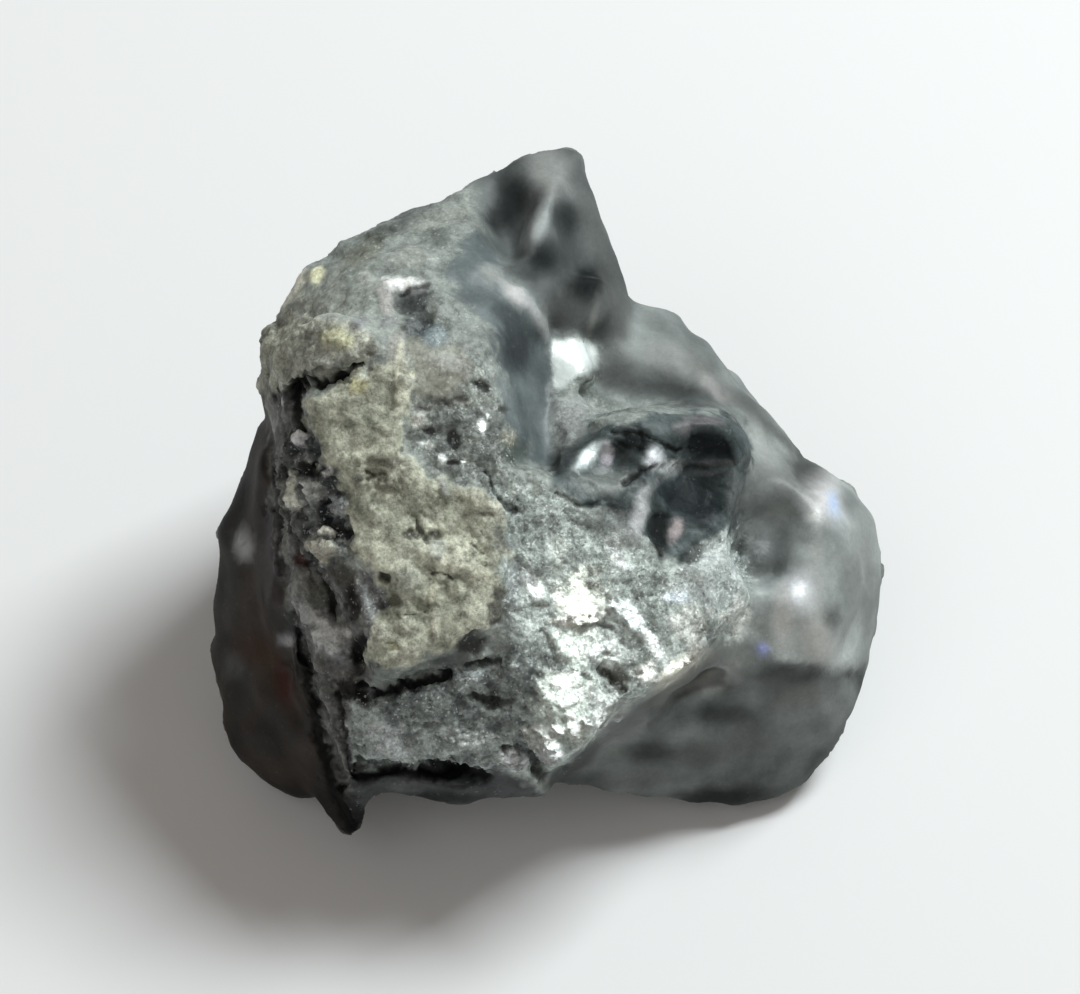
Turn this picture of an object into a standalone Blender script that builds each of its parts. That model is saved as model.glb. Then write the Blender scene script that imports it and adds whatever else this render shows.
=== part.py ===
"""A rough diamond: one dark, fractured crystal mass about 9 mm across, with a tan crust on its face.

The stone is laid out in millimetres with its broad face looking up: x to the right across the face,
y up the face, z out of it. It is then leaned back onto the flat cleavage plane that it rests on, and
written in metres.
"""

import math

import bmesh
import bpy
import numpy as np
from mathutils import Matrix, Vector, noise

STONE_WIDTH = 9.0  # across the broad face, left flank to right lobe
FACE_LEAN = math.radians(35.0)  # the broad face stands back from level by this much
REST_LEVEL = -3.15  # height of the cleavage plane that the stone rests on, before it is set to zero
MERGE_VOXEL = 0.10  # grid on which the overlapping crystals grow together
SKIN_VOXEL = 0.07  # grid of the skin after the relief is cut into it
TRIANGLES = 10300  # budget of the whole skin, of which the resting cut takes a tenth
MM = 0.001
STONE_COLOUR = (0.17, 0.19, 0.185, 1.0)  # dark silvery grey with a little green in it
STONE_ROUGHNESS = 0.38
STONE_METALLIC = 0.15

# Relief that covers the whole skin: the size of its bumps, their height and where the noise starts.
SWELLS = {"broad": (1.5, 0.07, 3.0), "small": (0.7, 0.04, 11.0)}
CHIPS = {"broad": (1.0, 0.08, 5.0), "small": (0.45, 0.05, 9.0)}
RIPPLE_PITCH = 0.19  # between the ripples of a shell-shaped break

# Each crystal is the hull of its own corners. They overlap, and grow together into one mass.
CRYSTALS = {
    # the big left-hand mass, which carries the tan crust on its front and a rounded shoulder above
    "main_block": [
        (-3.78, 1.25, 0.60), (-3.72, 1.95, 0.70), (-3.52, 2.52, 0.70), (-3.24, 2.96, 0.60),
        (-2.76, 3.30, 0.50), (-1.78, 3.78, 0.30), (-1.00, 4.03, 0.10), (-3.30, 1.60, 1.70),
        (-2.90, 2.30, 1.80), (-2.20, 2.80, 1.70), (-1.40, 2.95, 1.65), (-0.80, 2.70, 1.75),
        (-0.58, 2.10, 2.15), (-0.55, 1.20, 2.45), (-0.48, 0.30, 2.60), (-3.02, 1.30, 2.40),
        (-2.00, 1.85, 2.65), (-1.00, 1.70, 2.65), (-0.50, -0.80, 2.65), (-0.80, -2.05, 2.55),
        (-2.20, -2.35, 2.45), (-2.85, -1.00, 2.35), (-0.05, 2.30, 0.50), (0.02, 1.40, 0.70),
        (0.05, 0.50, 1.30), (-3.20, 0.80, -2.60), (-1.00, 2.70, -2.60), (0.00, 0.00, -3.40),
        (-2.40, -2.00, -3.20), (-0.40, -2.40, -3.20),
    ],
    # the rough lump that overhangs the crust at its top left corner
    "crust_brow": [
        (-3.60, 1.45, 1.50), (-3.45, 1.95, 1.90), (-2.95, 2.25, 2.30), (-2.30, 2.20, 2.60),
        (-2.15, 1.75, 2.80), (-2.60, 1.58, 2.85), (-3.10, 1.46, 2.55), (-3.45, 1.28, 2.05),
        (-2.60, 1.90, 1.20),
    ],
    # the stepped block under the crust
    "lower_block": [
        (-2.62, -2.50, 2.05), (-2.00, -2.40, 2.30), (-0.30, -2.10, 2.35), (-2.52, -3.62, 1.75),
        (-0.20, -3.55, 1.85), (-2.35, -3.75, 0.90), (-0.10, -3.70, 1.00), (-2.45, -3.40, -1.60),
        (0.20, -3.40, -1.80), (-1.00, -1.50, -3.20),
    ],
    # the thin strip below it
    "foot_strip": [
        (-2.30, -3.80, 1.30), (-1.20, -3.90, 1.25), (-0.10, -3.80, 1.30), (-2.35, -4.06, 0.90),
        (-1.20, -4.16, 0.85), (0.10, -4.08, 0.90), (-2.20, -3.60, 0.20), (0.20, -3.50, 0.20),
        (-1.00, -3.60, -1.40),
    ],
    # the dark body behind the left edge
    "left_flank": [
        (-3.86, 1.00, 0.10), (-4.06, 0.20, 0.00), (-4.36, -0.50, -0.20), (-4.52, -1.40, -0.40),
        (-4.58, -2.25, -0.50), (-4.42, -2.90, -0.50), (-4.16, -3.52, -0.50), (-3.78, -3.94, -0.40),
        (-3.24, -4.14, -0.30), (-2.60, -4.10, 0.10), (-3.50, 0.40, 1.00), (-3.80, -1.20, 0.75),
        (-3.60, -2.60, 0.60), (-3.05, -3.60, 0.60), (-3.60, -0.50, -2.40), (-3.85, -2.40, -2.30),
        (-2.90, -3.40, -2.20), (-2.00, 0.00, -3.20), (-1.60, -2.60, -3.20),
    ],
    # two upright plates that stand one behind the other along the left edge of the face
    "edge_plate": [
        (-3.60, 0.95, 1.10), (-3.45, 0.40, 1.75), (-3.25, -0.60, 1.90), (-3.18, -1.40, 1.85),
        (-2.92, -2.40, 1.85), (-3.50, -0.60, 1.00), (-3.40, -1.80, 1.00), (-3.15, -2.70, 0.90),
        (-2.60, -0.50, 0.80), (-2.50, -2.60, 0.80),
    ],
    "outer_plate": [
        (-3.88, 0.60, 0.70), (-3.72, -0.20, 1.25), (-3.62, -1.10, 1.40), (-3.42, -2.10, 1.40),
        (-3.05, -3.10, 1.25), (-3.90, -0.30, 0.50), (-3.82, -1.40, 0.55), (-3.55, -2.50, 0.50),
        (-3.20, 0.20, 0.40), (-2.90, -2.80, 0.40),
    ],
    # the pale leaf of crystal that lies between those plates and the crust
    "side_leaf": [
        (-3.02, -1.10, 1.80), (-2.74, -1.00, 2.12), (-2.50, -1.55, 2.12), (-2.44, -2.10, 2.02),
        (-2.58, -2.42, 1.80), (-2.92, -2.30, 1.66), (-3.08, -1.65, 1.70), (-2.72, -1.70, 0.40),
    ],
    # the thin plate whose lower end stands out as a spike
    "spike_plate": [
        (-3.05, -1.95, 1.60), (-2.84, -2.40, 1.95), (-2.66, -3.30, 1.85), (-2.36, -4.00, 1.25),
        (-2.36, -4.40, 0.85), (-2.54, -4.76, 0.55), (-2.68, -4.68, 0.35), (-3.00, -4.40, 0.15),
        (-3.20, -4.00, 0.00), (-3.05, -3.00, 0.80), (-2.45, -3.90, -0.40),
    ],
    # the bright ridge that runs down from the middle to the right
    "bright_ridge": [
        (-0.80, 0.35, 2.50), (-0.20, 0.20, 2.55), (0.60, -0.25, 2.45), (1.30, -0.70, 2.35),
        (1.95, -0.95, 2.20), (2.50, -0.95, 1.85), (2.72, -1.40, 1.70), (2.15, -1.98, 2.05),
        (1.38, -2.54, 2.28), (0.68, -3.16, 2.24), (0.05, -3.68, 2.02), (-0.60, -2.20, 2.50),
        (0.00, -3.75, 0.40), (1.50, -2.95, -0.40), (2.60, -1.60, -1.00), (0.60, -1.40, -3.60),
        (1.80, -0.40, -3.00),
    ],
    # the undercut body below that ridge
    "under_body": [
        (0.10, -3.97, 0.50), (0.70, -3.95, 0.20), (1.30, -4.04, -0.10), (2.00, -4.28, -0.40),
        (2.75, -4.24, -0.60), (3.48, -4.02, -0.65), (3.94, -3.56, -0.60), (4.16, -2.95, -0.55),
        (0.50, -3.40, 0.85), (1.60, -2.90, 0.70), (2.70, -2.40, 0.60), (3.50, -2.50, 0.30),
        (1.00, -3.20, -2.20), (2.60, -3.20, -2.30), (3.40, -2.40, -2.40), (1.60, -1.20, -3.60),
    ],
    # the glassy lobe on the right
    "right_lobe": [
        (3.36, 0.45, -0.40), (3.75, 0.28, -0.50), (4.14, -0.02, -0.60), (4.40, -0.42, -0.70),
        (4.54, -0.95, -0.75), (4.52, -1.50, -0.75), (4.42, -2.00, -0.70), (4.28, -2.50, -0.65),
        (4.16, -3.05, -0.60), (3.25, 0.25, 0.20), (3.55, -0.20, 0.75), (3.80, -0.90, 0.75),
        (3.70, -1.80, 0.70), (3.30, -2.20, 0.70), (3.15, -1.40, 0.95), (3.80, -0.60, -2.40),
        (3.60, -2.20, -2.50), (2.20, 0.20, -3.00), (2.00, -1.40, -3.50),
    ],
    # the block of black glass, which the pit is broken out of
    "glass_block": [
        (0.15, 0.35, 2.35), (0.40, 0.72, 2.15), (0.90, 0.92, 2.00), (1.60, 0.95, 1.90),
        (2.35, 0.85, 1.75), (2.66, 0.55, 1.45), (2.72, -0.40, 1.55), (2.50, -0.90, 1.80),
        (1.20, -0.60, 2.30), (0.30, -0.20, 2.45), (0.35, 0.85, 1.20), (1.50, 1.15, 0.80),
        (2.40, 1.05, 0.70), (0.80, 0.80, -2.80), (2.40, 0.60, -2.60), (1.60, -1.00, -3.20),
    ],
    # what joins the lobe to the glass block and to the body below, and the wall's foot to the pit
    "lobe_root": [
        (2.50, 0.45, 0.85), (3.32, 0.32, 0.48), (3.45, -0.30, 0.70), (3.42, -0.98, 0.62),
        (2.64, -0.98, 0.84), (2.60, -0.30, 0.92), (2.95, -0.20, -0.80),
    ],
    "lobe_foot": [
        (2.34, -1.30, 0.98), (3.12, -1.26, 0.80), (3.46, -1.60, 0.80), (3.46, -2.42, 0.56),
        (2.60, -2.54, 0.76), (2.06, -2.34, 0.92), (2.90, -2.10, -0.80),
    ],
    "wall_foot": [
        (-0.12, 0.20, 1.85), (0.32, 0.28, 1.80), (0.26, 0.80, 1.30), (-0.06, 0.90, 1.30),
        (0.10, 0.50, -0.40),
    ],
    # the grey slope behind the glass, on the upper right
    "back_slope": [
        (1.02, 2.55, -0.60), (1.65, 2.37, -0.50), (2.10, 1.98, -0.40), (2.42, 1.57, -0.30),
        (2.78, 1.20, -0.25), (3.38, 0.48, -0.20), (0.80, 2.00, 0.15), (1.50, 1.65, 0.45),
        (2.30, 1.15, 0.50), (2.95, 0.30, 0.55), (0.40, 2.10, -2.70), (1.80, 1.60, -2.60),
        (3.00, 0.30, -2.50), (0.60, 0.40, -3.20),
    ],
    # the heart of the stone, which the others stand on
    "heart": [
        (-3.10, 0.60, 0.70), (-2.90, -1.60, 0.80), (-2.30, -3.20, 0.60), (0.20, -3.30, 0.60),
        (2.40, -2.60, 0.20), (3.40, -1.60, 0.30), (3.10, 0.00, 0.30), (1.80, 1.30, 0.30),
        (0.50, 2.60, -0.20), (-1.60, 2.80, 0.40), (-0.60, 1.60, 0.40), (0.10, 1.90, 0.40),
        (0.60, 1.20, 0.45), (2.80, -1.10, 0.60), (-2.80, -2.00, 1.20), (-2.40, 1.60, -3.00),
        (0.60, 2.00, -3.00), (2.60, -0.40, -3.30), (1.40, -2.40, -3.40), (-1.80, -2.40, -3.30),
    ],
    # the pointed crystal at the top, with a rib down its front
    "peak": [
        (0.28, 4.70, -0.20), (0.48, 4.56, -0.20), (0.72, 3.86, -0.20), (0.90, 3.25, -0.15),
        (1.05, 2.62, -0.10), (1.05, 2.00, 0.10), (-0.10, 4.54, -0.25), (-0.50, 4.35, -0.20),
        (-0.95, 4.12, -0.10), (-1.20, 3.97, 0.00), (-0.80, 3.40, 0.40), (0.80, 2.60, 0.35),
        (-0.40, 2.50, 0.60), (0.30, 2.00, 0.60), (0.75, 2.20, 0.45), (0.30, 3.70, -1.40),
        (-0.70, 3.20, -2.00), (0.90, 2.40, -1.90), (-0.40, 1.60, -2.80),
    ],
    "peak_rib": [
        (0.25, 4.45, -0.05), (0.05, 3.90, 0.75), (-0.20, 3.35, 0.95), (-0.30, 2.95, 1.00),
        (0.22, 3.75, 0.60), (0.10, 3.05, 0.85), (0.05, 2.70, 0.80), (-0.30, 4.10, 0.10),
        (0.55, 3.60, 0.00), (-0.45, 2.80, 0.40), (0.35, 2.70, 0.30),
    ],
    "peak_foot": [
        (-0.05, 2.75, 0.95), (0.60, 2.95, 0.75), (0.88, 2.90, 0.50), (0.92, 2.30, 0.55),
        (0.40, 2.02, 0.75), (0.05, 2.25, 0.85), (0.40, 2.40, -0.40),
    ],
    # the pale band where the shoulder meets the peak
    "pale_band": [
        (-0.75, 2.85, 1.45), (-0.55, 2.55, 1.75), (-0.15, 2.25, 1.45), (0.02, 1.98, 1.15),
        (-0.40, 2.95, 0.95), (-0.02, 2.55, 0.85), (-0.30, 2.20, 0.40),
    ],
    # a flat little face at the foot of the peak, and the knob below it
    "valley_face": [
        (0.03, 1.97, 0.85), (0.62, 1.93, 0.75), (0.68, 1.40, 1.00), (0.06, 1.34, 1.15),
        (0.30, 1.60, -0.40),
    ],
    "valley_knob": [
        (0.10, 1.20, 1.25), (0.35, 1.27, 1.20), (0.58, 1.05, 1.20), (0.56, 0.80, 1.45),
        (0.30, 0.62, 1.60), (0.08, 0.80, 1.50), (0.30, 1.00, 0.20),
    ],
    # broken blocks on the hidden sides
    "rear_block": [
        (-2.60, 2.60, -0.40), (-0.90, 3.40, -0.80), (0.20, 3.05, -1.20), (-2.90, 1.90, -1.60),
        (-0.40, 2.85, -2.30), (-2.20, 1.60, -2.80), (0.10, 1.80, -3.00), (-1.40, 0.60, -1.00),
    ],
    "rear_plate": [
        (1.20, 2.30, -0.90), (2.60, 1.50, -0.90), (3.30, 0.60, -1.10), (1.30, 2.20, -2.30),
        (2.50, 1.60, -2.20), (3.20, 0.50, -2.20), (1.00, 0.80, -1.60),
    ],
    "rear_step": [
        (-3.55, 1.20, -0.30), (-3.75, 0.10, -0.60), (-3.55, 0.90, -1.50), (-3.65, -0.10, -1.90),
        (-2.60, 1.30, -1.90), (-2.40, 0.00, -1.00),
    ],
}

# The crust's edge on the broad face, and how proud of the crystal it stands.
CRUST_EDGE = [
    (-3.14, 1.14), (-2.72, 1.28), (-2.45, 1.46), (-2.10, 1.62), (-1.95, 1.74), (-1.76, 1.30),
    (-1.74, 0.90), (-1.86, 0.50), (-1.50, 0.16), (-0.98, 0.02), (-0.62, -0.16), (-0.46, -0.45),
    (-0.58, -0.80), (-0.52, -1.47), (-0.80, -1.80), (-1.10, -1.90), (-1.45, -2.14), (-2.15, -2.36),
    (-2.36, -2.05), (-2.25, -1.75), (-2.00, -1.50), (-2.20, -1.15), (-2.45, -0.85), (-2.55, -0.40),
    (-2.48, 0.05), (-2.80, 0.28), (-2.92, 0.62), (-3.10, 0.85),
]
CRUST_RISE = 0.13

# Cracks in the broad face: the points that each one runs through, half its width and how deep it goes.
CRACKS = {
    "crust_top": ([(-3.30, 1.18), (-3.12, 1.33), (-2.87, 1.38), (-2.68, 1.44)], 0.10, 0.44),
    "crust_top_end": ([(-2.66, 1.44), (-2.42, 1.56)], 0.06, 0.24),
    "crust_left": ([(-3.24, 1.12), (-3.16, 0.76), (-3.04, 0.30)], 0.09, 0.20),
    "crust_hollow": ([(-2.92, 0.10), (-2.85, -0.30), (-2.66, -0.52)], 0.17, 0.18),
    "crust_scar": ([(-2.26, -1.08), (-2.16, -1.36), (-2.08, -1.58)], 0.17, 0.14),
    "crust_foot": (
        [(-2.40, -2.58), (-2.10, -2.60), (-1.76, -2.54), (-1.46, -2.46), (-1.26, -2.40)],
        0.11, 0.36,
    ),
    "crust_foot_end": ([(-1.04, -2.31), (-0.86, -2.25), (-0.66, -2.20)], 0.08, 0.16),
    "crust_end": ([(-1.16, -2.04), (-0.95, -1.98), (-0.80, -1.92)], 0.12, 0.16),
    "block_foot": (
        [(-2.46, -3.74), (-2.00, -3.67), (-1.55, -3.70), (-1.05, -3.66), (-0.80, -3.70)], 0.12, 0.36
    ),
    "block_edge": ([(-2.72, -2.60), (-2.62, -3.30), (-2.44, -3.85)], 0.07, 0.24),
    "inner_gap": (
        [(-3.30, -0.82), (-3.02, -1.15), (-2.80, -1.42), (-2.56, -1.85), (-2.42, -2.25)], 0.10, 0.16
    ),
    "spike_gap": ([(-3.24, -1.95), (-3.10, -2.50), (-2.92, -3.20), (-2.80, -3.80)], 0.11, 0.34),
    "outer_gap": (
        [(-3.62, 0.40), (-3.50, -0.60), (-3.44, -1.20), (-3.54, -1.80), (-3.42, -2.50)], 0.08, 0.20
    ),
    "ridge_break": ([(-0.30, -3.40), (-0.18, -3.50), (-0.08, -3.74)], 0.10, 0.20),
    "ridge_gap": ([(0.72, -2.32), (0.86, -2.46), (0.94, -2.60)], 0.10, 0.12),
    "shoulder_gap": ([(-1.86, 2.50), (-1.72, 2.36), (-1.62, 2.12)], 0.19, 0.20),
}

# Shell-shaped breaks: the centre and half sizes of the hollow that is left, and how strongly it ripples.
BITES = {
    "pit": ((1.96, 0.26, 2.08), (0.66, 0.62, 0.78), 0.05),
    "pit_foot": ((1.64, -0.50, 2.42), (0.44, 0.50, 0.55), 0.04),
    "pit_left": ((0.74, 0.40, 2.40), (0.50, 0.33, 0.46), 0.04),
    "pit_middle": ((1.26, 0.10, 2.60), (0.36, 0.30, 0.42), 0.03),
    "lobe_hollow": ((2.98, -0.55, 1.55), (0.62, 1.00, 0.90), 0.0),
    "lobe_notch": ((3.45, 0.45, 0.75), (0.55, 0.45, 0.50), 0.0),
    "peak_left": ((-0.52, 3.76, 0.95), (0.38, 0.56, 0.62), 0.0),
    "peak_right": ((0.32, 3.50, 0.62), (0.26, 0.42, 0.42), 0.0),
    "peak_low": ((0.56, 2.66, 1.00), (0.40, 0.26, 0.34), 0.0),
    "slope_dip": ((1.55, 2.05, 1.20), (1.05, 0.80, 0.95), 0.0),
    "under_hollow": ((1.90, -3.70, 1.90), (1.50, 1.10, 1.40), 0.0),
    "wall_hollow": ((0.18, 1.35, 2.30), (0.60, 0.90, 0.80), 0.0),
    "flank_hollow": ((-4.45, -0.40, 1.20), (0.80, 1.05, 0.90), 0.0),
}
BITE_WOBBLE = 0.30  # how far a break strays from a true shell, as a share of its size

# Cleavage: the stone parts along planes that face these ways, in steps of about this height.
CLEAVAGES = {"steep": (Vector((0.55, 0.60, 0.58)), 0.62), "shallow": (Vector((-0.62, 0.30, -0.72)), 0.55)}
CLEAVAGE_PULL = 0.62
CLEAVAGE_PATCH = 3.2  # size of the patches in which one or the other shows


def clear_scene():
    for obj in list(bpy.data.objects):
        bpy.data.objects.remove(obj)


def object_from(mesh, name):
    obj = bpy.data.objects.new(name, mesh)
    bpy.context.scene.collection.objects.link(obj)
    return obj


def hull_into(mesh, corners):
    """Adds the hull of these corners to a bmesh as a closed body of its own."""
    verts = [mesh.verts.new(corner) for corner in corners]
    made = bmesh.ops.convex_hull(mesh, input=verts)
    bmesh.ops.delete(mesh, geom=made["geom_interior"], context="VERTS")


def applied(obj, name):
    """A new mesh holding the object with its modifiers applied. The object itself is removed."""
    graph = bpy.context.evaluated_depsgraph_get()
    mesh = bpy.data.meshes.new_from_object(obj.evaluated_get(graph))
    mesh.name = name
    bpy.data.objects.remove(obj)
    return mesh


def voxel_skin(mesh, size):
    """One closed skin around everything the mesh encloses."""
    obj = object_from(mesh, "skin")
    remesh = obj.modifiers.new("grow_together", "REMESH")
    remesh.mode = "VOXEL"
    remesh.voxel_size = size
    return applied(obj, "skin")


def crystal_mass():
    mesh = bmesh.new()
    for corners in CRYSTALS.values():
        hull_into(mesh, corners)
    data = bpy.data.meshes.new("crystals")
    mesh.to_mesh(data)
    mesh.free()
    return voxel_skin(data, MERGE_VOXEL)


def smoothstep(value):
    value = np.clip(value, 0.0, 1.0)
    return value * value * (3.0 - 2.0 * value)


def skin_arrays(mesh):
    """The skin's vertex places and outward directions, as arrays."""
    places = np.array([vert.co for vert in mesh.vertices])
    outward = np.array([vert.normal for vert in mesh.vertices])
    return places, outward


def distance_to_line(spots, line):
    """How far each spot on the broad face is from a line drawn on it."""
    nearest = np.full(len(spots), np.inf)
    for start, end in zip(line[:-1], line[1:]):
        start, span = np.array(start), np.array(end) - np.array(start)
        along = np.clip((spots - start) @ span / (span @ span), 0.0, 1.0)
        nearest = np.minimum(nearest, np.linalg.norm(spots - start - along[:, None] * span, axis=1))
    return nearest


def inside_edge(spots, edge):
    """True for each spot inside a closed edge drawn on the broad face."""
    inside = np.zeros(len(spots), bool)
    for (x0, y0), (x1, y1) in zip(edge, edge[1:] + edge[:1]):
        crosses = (spots[:, 1] < y0) != (spots[:, 1] < y1)
        x = x0 + (spots[:, 1] - y0) * (x1 - x0) / (y1 - y0 + 1e-12)
        inside ^= crosses & (spots[:, 0] < x)
    return inside


def swell(places, size, seed):
    """Smooth noise from about -1 to 1, with bumps of this size."""
    shift = Vector((seed, -seed, 2.0 * seed))
    return np.array([noise.noise(Vector(place) / size + shift) for place in places])


def chips(places, size, seed):
    """Broken faces: each cell of this size is a little plane with a tilt of its own."""
    shift = Vector((seed, 3.0 * seed, -seed))
    heights = np.empty(len(places))
    for index, place in enumerate(places):
        spot = Vector(place) / size + shift
        centre = noise.voronoi(spot)[1][0]
        tilt = noise.cell_vector(centre * 7.31) - Vector((0.5, 0.5, 0.5))
        heights[index] = (spot - centre).dot(tilt) * 2.0
    return heights


def crust_cover(places, outward):
    """1 where the crust lies, 0 where the crystal is bare, with a ragged edge between."""
    spots = places[:, :2] + 0.10 * np.stack([swell(places, 0.35, 21.0), swell(places, 0.35, 27.0)], axis=1)
    reach = distance_to_line(spots, CRUST_EDGE + CRUST_EDGE[:1])
    signed = np.where(inside_edge(spots, CRUST_EDGE), reach, -reach)
    return smoothstep(0.5 + signed / 0.08) * (outward[:, 2] > 0.2)


def bitten(places, centre, radii, ripple):
    """A shell-shaped break: what lies inside this hollow is pushed back to its wall, with ripples in it."""
    centre = np.array(centre)
    away = (places - centre) / radii
    reach = np.linalg.norm(away, axis=1)
    rings = places[:, 1] + 0.3 * places[:, 0]
    wall = 1.0 + BITE_WOBBLE * swell(places, min(radii), 10.0 * centre[0])
    wall += ripple * np.sin(rings * 2.0 * math.pi / RIPPLE_PITCH)
    inside = reach < wall
    moved = places.copy()
    moved[inside] = centre + away[inside] * radii * (wall[inside] / reach[inside])[:, None]
    return moved


def cleaved(places, front):
    """Draws the hidden sides towards their cleavage planes, which leaves flat treads and sharp risers."""
    steep = smoothstep(0.5 + 3.0 * swell(places, CLEAVAGE_PATCH, 40.0))
    for share, (facing, step) in zip((steep, 1.0 - steep), CLEAVAGES.values()):
        facing = np.array(facing.normalized())
        level = places @ facing / step + swell(places, 1.9, step * 10.0)
        pull = CLEAVAGE_PULL * share * (1.0 - front) * step * (np.round(level) - level)
        places = places + facing * pull[:, None]
    return places


def relieved(mesh):
    places, outward = skin_arrays(mesh)
    front = smoothstep((outward[:, 2] + 0.55) * 2.0)
    places = cleaved(places, front)
    height = CRUST_RISE * crust_cover(places, outward)
    for size, rise, seed in SWELLS.values():
        height += rise * swell(places, size, seed)
    for size, rise, seed in CHIPS.values():
        height += rise * chips(places, size, seed)
    facing = smoothstep(outward[:, 2] * 3.0) * (places[:, 2] > 0.0)
    for line, width, depth in CRACKS.values():
        wander = width * swell(places, 0.3, depth * 40.0)
        height -= depth * facing * smoothstep(1.0 - (distance_to_line(places[:, :2], line) + wander) / width)
    places = places + outward * height[:, None]
    for centre, radii, ripple in BITES.values():
        places = bitten(places, centre, radii, ripple)
    mesh.vertices.foreach_set("co", places.ravel())
    mesh.update()
    return voxel_skin(mesh, SKIN_VOXEL)


def thinned(mesh, triangles):
    obj = object_from(mesh, "thin")
    thin = obj.modifiers.new("thin", "DECIMATE")
    mesh.calc_loop_triangles()
    thin.ratio = triangles / len(mesh.loop_triangles)
    return applied(obj, "thin")


def leaned_and_cut(mesh):
    """Leans the stone onto its resting plane, cuts it flat there and puts the origin under its middle."""
    shape = bmesh.new()
    shape.from_mesh(mesh)
    shape.transform(Matrix.Rotation(FACE_LEAN, 4, "X"))
    everything = shape.verts[:] + shape.edges[:] + shape.faces[:]
    cut = bmesh.ops.bisect_plane(
        shape, geom=everything, plane_co=(0, 0, REST_LEVEL), plane_no=(0, 0, -1), clear_outer=True
    )
    rim = [part for part in cut["geom_cut"] if isinstance(part, bmesh.types.BMEdge)]
    flat = bmesh.ops.holes_fill(shape, edges=rim)["faces"]
    bmesh.ops.triangulate(shape, faces=[face for face in shape.faces if face not in flat])
    places = np.array([vert.co for vert in shape.verts])
    low, high = places.min(axis=0), places.max(axis=0)
    middle = (low + high) / 2
    scale = MM * STONE_WIDTH / (high[0] - low[0])
    add_face_frame(Vector((-middle[0], -middle[1], -low[2])) * scale)
    shape.transform(Matrix.Translation((-middle[0], -middle[1], -low[2])))
    shape.transform(Matrix.Scale(scale, 4))
    shape.normal_update()
    finished = bpy.data.meshes.new("rough_diamond")
    shape.to_mesh(finished)
    shape.free()
    return finished


def add_face_frame(place):
    """An empty that marks where the broad face's own axes lie in the finished stone."""
    frame = bpy.data.objects.new("face_frame", None)
    frame.location = place
    frame.rotation_euler.x = FACE_LEAN
    frame.empty_display_size = STONE_WIDTH * MM / 2
    bpy.context.scene.collection.objects.link(frame)


def stone_material():
    material = bpy.data.materials.new("dark_fractured_diamond")
    material.use_nodes = True
    shader = material.node_tree.nodes["Principled BSDF"]
    shader.inputs["Base Color"].default_value = STONE_COLOUR
    shader.inputs["Roughness"].default_value = STONE_ROUGHNESS
    shader.inputs["Metallic"].default_value = STONE_METALLIC
    return material


def main():
    clear_scene()
    mass = relieved(crystal_mass())
    stone = object_from(leaned_and_cut(thinned(mass, TRIANGLES)), "rough_diamond")
    stone.data.materials.append(stone_material())
    stone.data.shade_flat()


main()
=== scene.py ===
import itertools
import math

import bmesh
import bpy
import numpy as np
from mathutils import Matrix, Vector


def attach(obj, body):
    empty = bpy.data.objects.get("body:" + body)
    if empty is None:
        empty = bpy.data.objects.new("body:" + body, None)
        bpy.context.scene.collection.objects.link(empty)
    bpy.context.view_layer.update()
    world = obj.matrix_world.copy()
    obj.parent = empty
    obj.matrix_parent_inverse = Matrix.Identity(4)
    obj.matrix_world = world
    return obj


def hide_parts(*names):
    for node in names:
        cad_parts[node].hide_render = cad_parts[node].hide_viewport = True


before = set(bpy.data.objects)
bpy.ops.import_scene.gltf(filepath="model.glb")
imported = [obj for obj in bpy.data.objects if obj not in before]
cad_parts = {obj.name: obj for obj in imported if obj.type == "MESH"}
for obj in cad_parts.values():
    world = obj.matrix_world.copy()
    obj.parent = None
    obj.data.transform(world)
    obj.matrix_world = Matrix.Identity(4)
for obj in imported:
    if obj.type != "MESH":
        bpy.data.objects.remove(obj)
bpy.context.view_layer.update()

# The stone: one rough diamond, a dark mass of fractured crystal about 9 mm across. A thin tan crust has
# grown onto its broad face, the lower middle breaks into sparkling grains, and a glassy pit is chipped
# out above them. Its solid gives the main forms, and this finer skin takes that solid's place.
MM = 0.001
FACE_ORIGIN = Vector((0.0000028, 0.0000649, 0.0031351))  # where the broad face's own axes cross
FACE_LEAN = math.radians(35.0)  # the broad face stands back from level by this much
FACE_TO_STONE = Matrix.Translation(FACE_ORIGIN) @ Matrix.Rotation(FACE_LEAN, 4, "X") @ Matrix.Scale(MM, 4)
SKIN_VOXEL = 0.030  # mm, the finest grain that the skin can hold
FRONT_TRIANGLES = 145000
HIDDEN_TRIANGLES = 50000
ROUNDS_OVER_VOXELS = 12  # how often the whole skin is rubbed down, to lose the steps of its voxels
ROUNDS_OVER_GLASS = 55  # and how often its smooth patches are

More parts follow.
